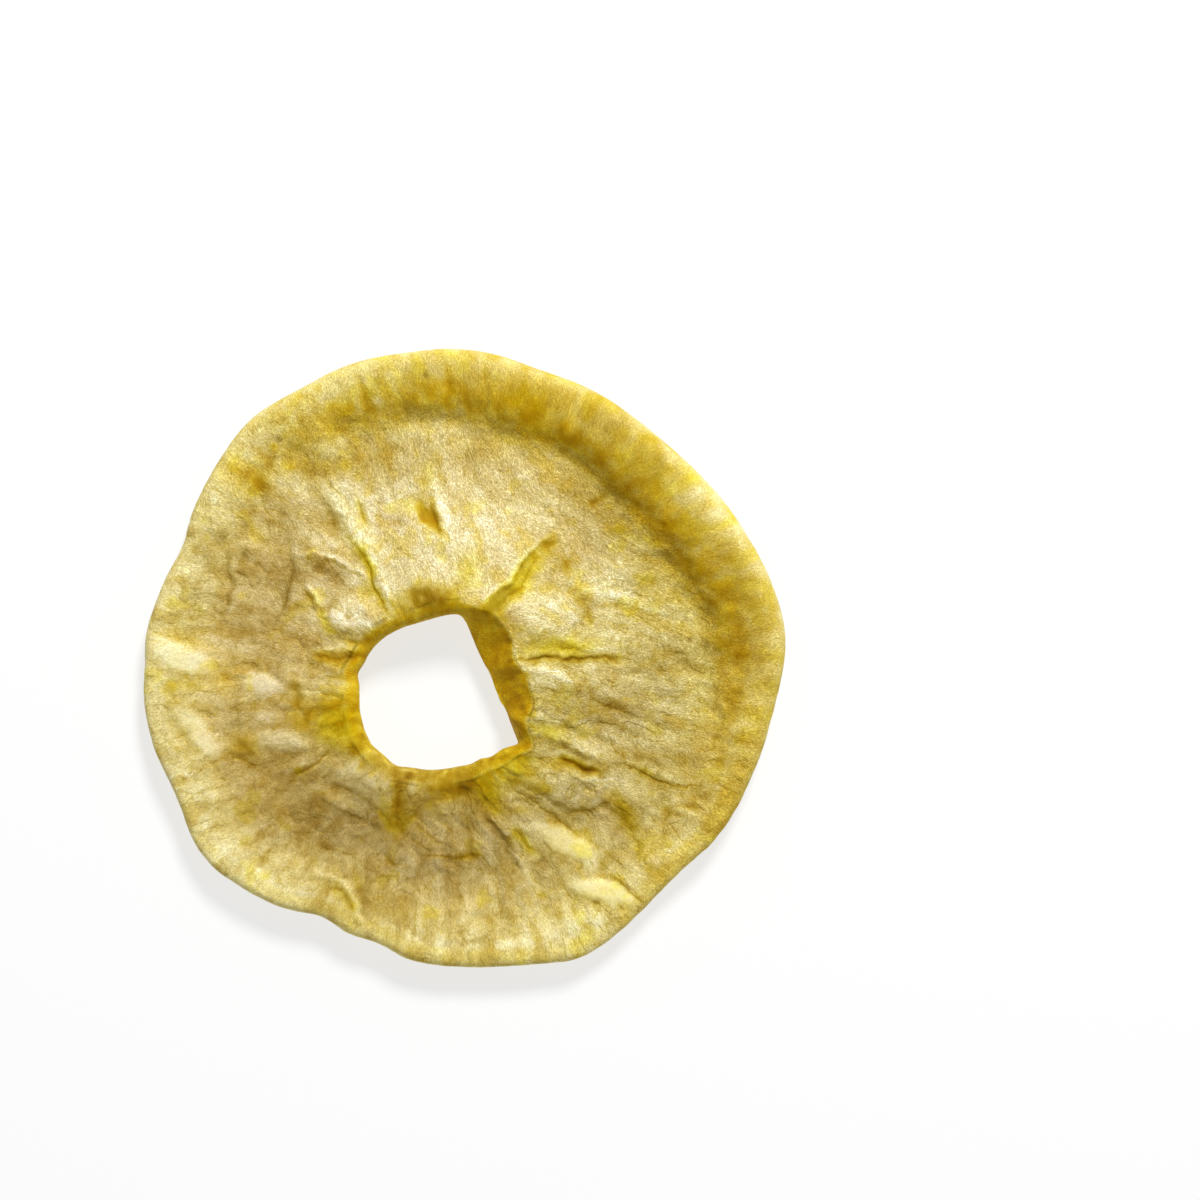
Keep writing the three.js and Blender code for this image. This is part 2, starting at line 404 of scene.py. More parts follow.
# ---- Folds, mounds and stains ----


class Tint(Enum):
    """What colours the flesh: how much of red, green and blue one layer of it takes up.

    Each layer leaves e to the minus these shares of the light, and cream gives some back.
    """

    TAN = (0.28, 0.39, 0.88)
    # Dull grey-tan flesh, also used as painted shade in hollows and shadowed zones.
    DULL_AND_SHADE = (0.36, 0.50, 0.80)
    CREAM = (-0.22, -0.30, -0.62)
    GOLD = (0.12, 0.25, 1.20)
    YELLOW = (0.03, 0.08, 1.80)
    AMBER = (0.24, 0.42, 2.10)
    BROWN = (0.45, 0.53, 0.90)
    HONEY = (0.0, 0.15, 2.00)


@dataclass(frozen=True)
class Fold:
    """A groove in the flesh, or a ridge where the depth is negative.

    step raises the side on the left of its path over the other, as where one flake of flesh
    overlaps the next. line is how dark the thin line along its bottom is: the crease's own
    colour with painted shade in it. The constants say where it fades in from its ends, as
    shares of the path, and how its section falls off.
    """

    path: tuple[Point, ...]
    width: float
    depth: float
    step: float = 0.0
    tint: Tint = Tint.AMBER
    strength: float = 0.0
    line: float = 0.0

    END_FROM = -0.12
    END_TO = 0.3
    BOTTOM_WIDTH = 0.2
    SIDE_FALL = 1.5
    STEP_REACH = 3.5
    MASK_REACH = 1.15
    LINE_REACH = 0.7

    def nearest(self, x: Array, y: Array) -> tuple[Array, Array]:
        """Measure each point against the path.

        Args:
            x: Points' places to the right.
            y: Points' places away.

        Returns:
            The signed distance, left of the path being positive, and the share of the way
            along the path.
        """
        legs = len(self.path) - 1
        distance = np.full(x.shape, np.inf)
        side = np.ones(x.shape)
        along = np.zeros(x.shape)
        for leg, ((ax, ay), (bx, by)) in enumerate(zip(self.path, self.path[1:])):
            run_x, run_y = bx - ax, by - ay
            share = ((x - ax) * run_x + (y - ay) * run_y) / (run_x**2 + run_y**2)
            share = np.clip(share, 0.0, 1.0)
            off_x, off_y = x - ax - share * run_x, y - ay - share * run_y
            gap = np.hypot(off_x, off_y)
            closer = gap < distance
            distance = np.where(closer, gap, distance)
            side = np.where(closer, np.sign(run_x * off_y - run_y * off_x), side)
            along = np.where(closer, (leg + share) / legs, along)
        return distance * side, along

    def shape(self, x: Array, y: Array) -> tuple[Array, Array, Array, Array]:
        """Work out the fold's height, its mask and its thin dark line.

        The groove is a sharp-bottomed bell, and the step is the hyperbolic tangent of the
        signed distance under a wider bell. Both ease off to the path's ends.

        Args:
            x: Points' places to the right.
            y: Points' places away.

        Returns:
            The height to add, the mask of the fold from 0 to 1, the signed distance from its
            line, and how strong the line is near each point.
        """
        signed, along = self.nearest(x, y)
        reach = np.abs(signed) / self.width
        ends = smooth_step(self.END_FROM, self.END_TO, np.minimum(along, 1.0 - along))
        if self.depth > 0.0:
            fall = np.hypot(reach, self.BOTTOM_WIDTH) - self.BOTTOM_WIDTH
            bell = np.exp(-fall * self.SIDE_FALL)
        else:
            bell = np.exp(-(reach**2))
        step = self.step * np.tanh(signed / self.width) * np.exp(-((reach / self.STEP_REACH) ** 2))
        height = (step - self.depth * bell) * ends
        mask = np.exp(-((reach / self.MASK_REACH) ** 2)) * ends
        line = self.line * ends * np.exp(-((signed / self.LINE_REACH) ** 2))
        return height, mask, signed, line


@dataclass(frozen=True)
class Mound:
    """A puffed place in the flesh: an oval dome, or a hollow where its height is negative.

    The higher its edge, the more sudden its sides are; sleek says how far it lacks fibres.
    """

    middle: Point
    half: Point
    tilt: float
    height: float
    strength: float
    edge: float = 3.0
    sleek: float = 0.0
    tint: Tint = Tint.CREAM

    FARTHEST = 3.0

    def oval(self, x: Array, y: Array) -> Array:
        """Give each point's distance from the middle, 1 on the oval's edge.

        Args:
            x: Points' places to the right.
            y: Points' places away.

        Returns:
            The length of the way there, turned with the oval and divided by its half sizes.
        """
        turn = math.radians(self.tilt)
        off_x, off_y = x - self.middle[0], y - self.middle[1]
        u = (off_x * math.cos(turn) + off_y * math.sin(turn)) / self.half[0]
        v = (off_y * math.cos(turn) - off_x * math.sin(turn)) / self.half[1]
        return np.hypot(u, v)

    def shape(self, x: Array, y: Array) -> Array:
        """Give its mask: e to the minus oval distance raised to the power of its edge."""
        return np.exp(-(np.minimum(self.oval(x, y), self.FARTHEST) ** self.edge))


@dataclass(frozen=True)
class Stain:
    """An oval patch of colour with no height of its own."""

    tint: Tint
    middle: Point
    half: Point
    tilt: float
    strength: float

    def shape(self, x: Array, y: Array) -> Array:
        """Give its mask: e to the minus square of the oval distance."""
        oval = Mound(self.middle, self.half, self.tilt, 0.0, 0.0).oval(x, y)
        return np.exp(-(oval**2))


def groove(
    path: Sequence[Point],
    width: float,
    depth: float,
    strength: float = 0.3,
    tint: Tint = Tint.GOLD,
    step: float = 0.0,
    line: float = 0.0,
) -> Fold:
    """Make a broad groove, tinted along its bottom."""
    return Fold(tuple(path), width, depth, step, tint, strength, line)


def crease(
    path: Sequence[Point],
    line: float = 0.5,
    strength: float = 0.3,
    tint: Tint = Tint.GOLD,
    step: float = 0.0,
    width: float = 0.35,
) -> Fold:
    """Make a thin crease; the darker its line, the deeper it is."""
    deepest = 0.2
    return Fold(tuple(path), width, deepest * line, step, tint, strength, line)


def ridge(path: Sequence[Point], width: float, height: float, strength: float = 0.5) -> Fold:
    """Make a ridge, pale along its top."""
    return Fold(tuple(path), width, -height, 0.0, Tint.CREAM, strength)


def stains(tint: Tint, *rows: tuple[float, ...]) -> tuple[Stain, ...]:
    """Make stains of one tint from rows: middle x and y, half length and width, tilt, strength."""
    return tuple(Stain(tint, row[0:2], row[2:4], row[4], row[5]) for row in rows)


UPPER_FOLDS = (
    groove([(-3.4, 16.8), (-3.1, 15.2), (-2.4, 13.3)], 0.4, 0.3, 0.8, Tint.AMBER, 0.2, 0.3),
    ridge([(-3.2, 20.0), (-2.6, 17.6), (-2.0, 15.2), (-1.4, 13.0)], 0.5, 0.12, 1.0),
    groove([(-3.9, 21.5), (-3.6, 17.8)], 0.6, 0.05, 0.35, Tint.YELLOW),
    groove([(-2.4, 12.8), (-2.0, 10.2)], 0.5, 0.05, 0.3, Tint.YELLOW),
    groove([(-15.5, 19.4), (-14.3, 16.9), (-13.0, 14.5), (-11.9, 12.8), (-10.5, 10.6), (-9.8, 8.6)],
           0.8, 0.0, 0.0, Tint.DULL_AND_SHADE, 0.3),
    # painted shade: the dull tint in the hollow left of the wedge ridge
    groove([(-15.0, 16.4), (-13.6, 13.6), (-11.8, 10.9), (-10.6, 9.3)], 1.1, 0.12, 0.2, Tint.DULL_AND_SHADE),
    crease([(-12.2, 13.1), (-11.0, 11.4), (-9.9, 9.8), (-9.6, 7.8), (-8.4, 5.8), (-7.6, 4.8)],
           0.6, 0.8, Tint.YELLOW, 0.14),
    groove([(-11.3, 12.6), (-10.1, 10.6), (-9.4, 8.8)], 0.45, 0.05, 0.5, Tint.YELLOW),
    groove([(-7.7, 6.6), (-7.0, 5.2)], 0.3, 0.1, 0.5, Tint.YELLOW, 0.1),
    # painted shade: the dull tint in the hollow between the ridges
    groove([(-10.2, 15.6), (-8.0, 14.8), (-5.8, 14.2)], 1.1, 0.18, 0.3, Tint.DULL_AND_SHADE),
    crease([(-11.5, 17.4), (-10.7, 15.6), (-10.2, 14.1)], 0.4, 0.7, Tint.AMBER),
    ridge([(-15.3, 19.3), (-13.8, 17.2), (-12.6, 15.0), (-11.3, 13.0), (-9.6, 10.6), (-8.6, 8.6)],
          1.0, 0.2, 1.1),
    ridge([(-8.8, 9.0), (-7.8, 6.8), (-7.0, 5.4)], 0.4, 0.18, 0.8),
    ridge([(-18.2, 13.2), (-15.4, 13.8), (-13.4, 12.0)], 0.4, 0.1, 0.4),
    ridge([(-18.0, 11.1), (-15.9, 11.2), (-13.7, 10.8), (-11.6, 9.7), (-10.2, 8.5)], 0.4, 0.3, 1.0),
    # painted shade: the dull tint in the hollow under the ridge above
    groove([(-16.4, 9.6), (-14.4, 9.2), (-12.2, 8.0)], 1.3, 0.28, 0.5, Tint.DULL_AND_SHADE),
    ridge([(-17.1, 8.3), (-15.9, 6.8), (-15.0, 5.4)], 0.45, 0.28, 0.8),
    crease([(-17.2, 7.4), (-15.9, 5.5)], 0.35, 0.5),
    groove([(-15.3, 5.7), (-14.4, 3.7), (-13.2, 2.2)], 0.4, 0.1, 0.8, Tint.YELLOW),
    groove([(-6.9, 6.6), (-6.2, 4.4)], 0.45, 0.15, 0.6, Tint.AMBER),
    groove([(-5.1, 7.4), (-4.8, 5.4)], 0.5, 0.1, 0.6, Tint.AMBER),
    groove([(-1.2, 7.6), (-0.8, 5.2)], 0.5, 0.1, 0.6, Tint.YELLOW),
    crease([(2.9, 6.2), (4.2, 7.4), (5.3, 7.9), (5.6, 9.0), (6.3, 10.0), (7.2, 11.1), (8.6, 12.4)],
           0.3, 0.6, Tint.YELLOW, 0.26, 0.35),
    ridge([(2.6, 6.6), (3.9, 7.8), (5.0, 8.3), (5.3, 9.4), (6.0, 10.4), (6.9, 11.5), (8.3, 12.8)],
          0.25, 0.1, 1.0),
    crease([(3.4, 5.2), (4.7, 6.5), (5.9, 7.7), (6.8, 9.1), (7.9, 10.7)], 0.5, 0.5, Tint.YELLOW, 0.1),
    groove([(8.4, 12.3), (9.4, 12.6), (10.2, 12.3)], 0.4, 0.12, 0.9, Tint.AMBER, 0.1),
    groove([(10.7, 10.6), (11.1, 9.2)], 0.5, 0.14, 1.0, Tint.AMBER),
    crease([(5.0, 0.0), (8.0, 0.0), (11.0, 0.15), (14.0, 0.2), (17.5, 0.1)],
           0.9, 0.9, Tint.AMBER, 0.1, 0.4),
    groove([(6.0, 1.0), (9.0, 1.0), (11.5, 1.2), (13.0, 1.0)], 0.5, 0.12, 0.8, Tint.YELLOW),
    ridge([(9.5, 2.0), (12.5, 2.1)], 0.4, 0.1, 0.4),
    ridge([(13.0, -1.6), (15.2, -3.0), (17.6, -4.8)], 0.6, 0.14, 0.5),
    ridge([(7.4, -1.0), (9.4, -1.1), (11.4, -2.0)], 0.5, 0.12, 0.6),
    groove([(12.2, 7.2), (13.0, 5.6), (13.8, 3.2)], 0.9, 0.25, 0.5, Tint.DULL_AND_SHADE),
    groove([(12.4, 7.0), (13.4, 4.8)], 0.7, 0.0, 0.4, Tint.DULL_AND_SHADE),
    ridge([(10.6, 8.8), (13.6, 7.4), (17.0, 6.7), (19.5, 6.0)], 0.6, 0.14, 0.7),
    ridge([(12.0, 11.4), (15.0, 10.4), (17.4, 9.0)], 0.5, 0.12, 0.5),
    crease([(13.3, 16.4), (14.2, 17.0), (15.2, 17.5)], 0.4, 0.9, Tint.AMBER),
    groove([(-18.8, 13.4), (-18.4, 11.0), (-18.3, 9.2), (-18.8, 6.8), (-20.0, 4.4)],
           0.55, 0.2, 0.6, Tint.BROWN, 0.0, 0.25),
    groove([(-25.1, 12.2), (-25.1, 9.4), (-24.5, 7.8), (-25.3, 5.4)],
           0.4, 0.14, 0.5, Tint.BROWN, 0.0, 0.2),
    ridge([(-22.4, 14.6), (-20.2, 11.6)], 0.45, 0.12, 0.4),
    ridge([(-21.2, 15.4), (-19.6, 13.2)], 0.35, 0.1, 0.3),
    ridge([(-23.4, 22.2), (-20.4, 20.4)], 0.5, 0.14),
    groove([(-20.5, 20.2), (-16.5, 19.9), (-13.0, 19.6), (-9.6, 19.4)], 0.6, 0.04, 0.35, Tint.TAN),
    groove([(-11.4, 30.4), (-10.4, 28.6), (-10.1, 26.2)], 0.35, 0.12, 0.6, Tint.GOLD),
    groove([(-1.4, 31.6), (-1.4, 29.4), (-1.7, 26.6)], 0.35, 0.14, 0.8, Tint.GOLD),
    groove([(2.3, 31.2), (2.5, 28.6), (2.5, 25.6)], 0.35, 0.14, 0.8, Tint.GOLD),
    groove([(0.2, 28.4), (0.5, 25.2)], 0.35, 0.06, 0.5, Tint.AMBER),
)

LOWER_FOLDS = (
    groove([(-15.9, 0.6), (-13.0, 0.3), (-9.9, 0.4)], 0.5, 0.25, 1.8, Tint.AMBER, 0.0, 0.4),
    groove([(-13.0, 1.9), (-11.0, 1.6), (-9.4, 2.0)], 0.45, 0.15, 0.9, Tint.AMBER),
    ridge([(-15.0, 1.3), (-12.6, 1.1), (-11.0, 1.0)], 0.25, 0.12, 0.6),
    groove([(-33.2, 2.9), (-30.0, 2.2), (-26.4, 1.2)], 0.4, 0.08, 0.3, Tint.GOLD, -0.1),
    # painted shade: the dull tint along this fold
    groove([(13.4, -2.6), (13.9, -4.4), (16.5, -5.3), (19.0, -6.4)], 0.7, 0.2, 0.4, Tint.DULL_AND_SHADE),
    crease([(13.3, -2.6), (13.7, -4.0), (15.4, -4.9), (18.0, -6.0)], 0.3, 0.4),
    groove([(7.5, -8.2), (9.2, -9.0), (10.2, -10.2)], 0.6, 0.18, 0.5, Tint.BROWN),
    crease([(7.0, -10.2), (8.8, -10.3), (10.2, -10.6)], 0.35, 0.3),
    groove([(10.0, -10.5), (11.8, -11.0), (13.3, -11.7), (14.6, -12.0)],
           0.38, 0.3, 1.6, Tint.AMBER, 0.0, 0.3),
    groove([(11.6, -11.2), (13.8, -12.1)], 0.45, 0.1, 0.6, Tint.BROWN),
    ridge([(11.2, -12.0), (13.0, -12.7), (14.8, -12.7)], 0.35, 0.18, 0.4),
    crease([(16.2, -11.0), (17.9, -11.7), (20.7, -12.8), (23.5, -13.4), (25.4, -13.3)],
           0.7, 0.5, Tint.GOLD, 0.08),
    crease([(4.2, -12.2), (6.6, -14.5), (9.3, -16.3), (10.6, -17.6), (12.8, -19.2)],
           0.5, 0.4, Tint.GOLD, 0.1, 0.45),
    crease([(10.0, -16.4), (13.2, -16.0), (15.6, -15.0), (16.4, -13.6)], 0.3, 0.25, Tint.GOLD, 0.08),
    groove([(16.0, -14.6), (17.3, -17.0), (18.5, -19.4), (19.0, -21.0)],
           0.6, 0.1, 0.5, Tint.YELLOW, 0.06, 0.15),
    groove([(16.0, -17.0), (17.6, -20.0)], 1.1, 0.1, 0.55, Tint.DULL_AND_SHADE),
    crease([(21.3, -15.2), (21.9, -16.2), (21.6, -17.3)], 0.4, 0.6),
    crease([(22.0, -15.5), (25.8, -15.9)], 0.3, 0.4),
    groove([(7.0, -14.0), (8.0, -13.5), (9.5, -13.2)], 0.4, 0.06, 0.6, Tint.YELLOW),
    groove([(5.3, -17.8), (6.4, -19.3), (7.6, -20.9)], 0.4, 0.14, 1.1, Tint.YELLOW, 0.06, 0.15),
    crease([(15.6, -23.2), (17.9, -24.8), (19.4, -26.0)], 0.6, 0.6, Tint.BROWN),
    groove([(2.0, -15.6), (3.2, -18.0), (4.6, -20.2), (5.6, -22.4)], 0.7, 0.2, 0.45, Tint.DULL_AND_SHADE),
    ridge([(1.4, -16.4), (3.0, -19.2)], 0.35, 0.12, 0.3),
    ridge([(3.0, -16.4), (5.2, -19.6)], 0.35, 0.12, 0.6),
    ridge([(5.4, -20.4), (7.4, -23.8)], 0.35, 0.1, 0.4),
    groove([(7.6, -21.2), (9.0, -23.0)], 0.6, 0.12, 0.35, Tint.DULL_AND_SHADE),
    groove([(2.2, -14.2), (4.2, -16.2)], 0.5, 0.14, 0.9, Tint.YELLOW),
    ridge([(1.4, -12.6), (3.4, -15.2)], 0.25, 0.12, 0.2),
    groove([(1.8, -12.0), (3.6, -14.8)], 0.6, 0.0, 1.0, Tint.YELLOW),
    groove([(-6.9, -12.2), (-7.0, -14.6), (-7.2, -16.6), (-7.1, -18.6)],
           0.45, 0.16, 0.8, Tint.AMBER, 0.0, 0.15),
    groove([(-9.0, -15.5), (-8.0, -17.2), (-7.3, -18.4)], 0.35, 0.12, 0.9, Tint.YELLOW),
    groove([(-5.0, -16.2), (-6.0, -17.2), (-7.0, -18.7)], 0.35, 0.12, 0.9, Tint.YELLOW),
    crease([(-13.6, -13.1), (-11.1, -14.3), (-9.0, -15.6)], 0.2, 0.3, Tint.DULL_AND_SHADE, 0.08, 0.5),
    crease([(-15.4, -14.5), (-13.0, -15.9), (-10.4, -17.3), (-8.2, -17.7)],
           0.2, 0.3, Tint.DULL_AND_SHADE, 0.08, 0.5),
    crease([(-15.5, -19.6), (-13.3, -20.4), (-10.8, -20.9)], 0.3, 0.35, Tint.BROWN),
    crease([(-3.0, -14.9), (-1.0, -14.6)], 0.3, 0.5),
    crease([(-4.4, -20.7), (-1.2, -21.2), (1.5, -20.6)], 0.35, 0.5, Tint.GOLD, 0.0, 0.2),
    groove([(-10.4, -21.0), (-10.4, -24.6), (-10.3, -28.6)], 0.45, 0.06, 0.35, Tint.BROWN),
    crease([(-5.4, -17.4), (-3.8, -18.4), (-2.0, -19.8)], 0.35, 0.3),
    crease([(-5.8, -19.0), (-4.2, -19.6), (-3.0, -20.4)], 0.25, 0.2),
    crease([(-2.6, -17.2), (-1.0, -18.2)], 0.25, 0.2),
    crease([(-8.4, -21.6), (-6.0, -21.9)], 0.25, 0.2),
    crease([(-14.0, -9.6), (-14.9, -10.2), (-16.6, -11.6), (-18.2, -12.6)], 0.6, 0.3, Tint.GOLD, 0.1),
    ridge([(-14.6, -9.4), (-16.4, -10.8), (-18.2, -11.8)], 0.45, 0.16, 0.5),
    groove([(-12.6, -4.2), (-12.9, -6.4), (-12.0, -8.3), (-10.2, -10.2)], 0.9, 0.1, 0.9, Tint.YELLOW),
    groove([(-18.0, -2.0), (-17.6, -4.8), (-16.4, -7.4)], 0.6, 0.12, 0.8, Tint.AMBER, 0.0, 0.08),
    groove([(-24.2, -2.0), (-24.2, -6.0), (-23.9, -8.4), (-22.4, -10.0)],
           0.6, 0.1, 0.4, Tint.BROWN, 0.04, 0.1),
    crease([(-24.4, -10.0), (-22.0, -11.9)], 0.3, 0.5),
    groove([(-20.8, -5.4), (-18.2, -5.6)], 0.5, 0.08, 0.3, Tint.DULL_AND_SHADE),
    ridge([(-15.6, -22.6), (-13.5, -23.2), (-12.2, -24.6), (-11.3, -26.2), (-10.6, -28.2)],
          0.4, 0.22, 1.3),
    groove([(-15.0, -23.9), (-13.1, -24.6), (-12.0, -25.9), (-11.3, -27.4)],
           0.45, 0.09, 0.4, Tint.YELLOW),
)

MOUNDS = (
    Mound((-11.6, 4.6), (2.6, 2.0), 10, 0.7, 0.6, 4.0),
    Mound((-3.9, 15.3), (1.7, 0.65), -58, -0.22, 1.5, 4.0, 0.5, Tint.AMBER),
    Mound((-4.4, 14.9), (0.9, 0.6), 20, -0.06, 0.7, 3.0, 0.3, Tint.GOLD),
    Mound((8.3, 4.8), (3.6, 2.6), -10, 0.7, 0.4, 4.0),
    Mound((-21.3, -2.8), (2.2, 1.3), -12, 0.3, 3.0, 4.0, 0.5),
    Mound((-19.3, -8.5), (2.7, 1.1), -5, 0.2, 2.4, 4.0, 0.3),
    Mound((-28.4, -7.6), (3.2, 1.2), -50, 0.2, 1.6, 4.0, 0.6),
    Mound((-30.0, 0.1), (3.3, 1.5), -20, 0.35, 2.2, 5.0, 0.7),
    Mound((-22.0, 11.6), (1.8, 1.2), -40, 0.3, 0.5, 4.0),
    Mound((-11.2, -12.6), (2.8, 1.6), -28, 0.35, 0.5, 3.0, 0.3),
    Mound((-13.6, -15.0), (1.8, 0.9), -35, 0.2, 0.3, 3.0, 0.3),
    Mound((11.0, -19.6), (4.0, 1.3), -33, 0.4, 2.6, 5.0, 0.8),
    Mound((15.0, -24.7), (3.6, 1.2), -16, 0.4, 3.0, 6.0, 1.0),
    Mound((11.5, -28.0), (1.5, 1.0), 0, 0.2, 0.4),
    Mound((10.6, -13.6), (4.6, 1.9), -18, 0.38, 0.1, 4.0),
    Mound((9.4, -1.9), (2.6, 1.0), -20, 0.3, 0.6),
    Mound((8.4, -5.6), (2.4, 1.0), -25, 0.3, 0.4),
    Mound((12.0, -9.0), (3.0, 0.8), -25, 0.35, 0.8, 4.0),
    Mound((5.9, 8.2), (4.5, 1.0), 50, -0.2, 1.0, 2.6, 0.2, Tint.YELLOW),
    Mound((3.2, 5.6), (1.5, 0.9), 40, -0.1, 0.9, 3.0, 0.2, Tint.YELLOW),
    Mound((4.0, 6.3), (2.5, 0.8), 45, 0.0, 0.9, 3.0, 0.2, Tint.BROWN),
    Mound((19.6, -15.6), (1.6, 2.6), 30, 0.3, 0.3),
    Mound((-18.4, -21.3), (1.0, 0.8), 0, 0.1, 0.8),
    Mound((-27.4, -14.2), (2.0, 1.3), 0, 0.1, 0.7),
    Mound((21.4, -20.8), (2.4, 0.8), 18, 0.15, 0.8),
    Mound((17.6, -22.0), (0.8, 1.8), 35, 0.15, 0.6),
)
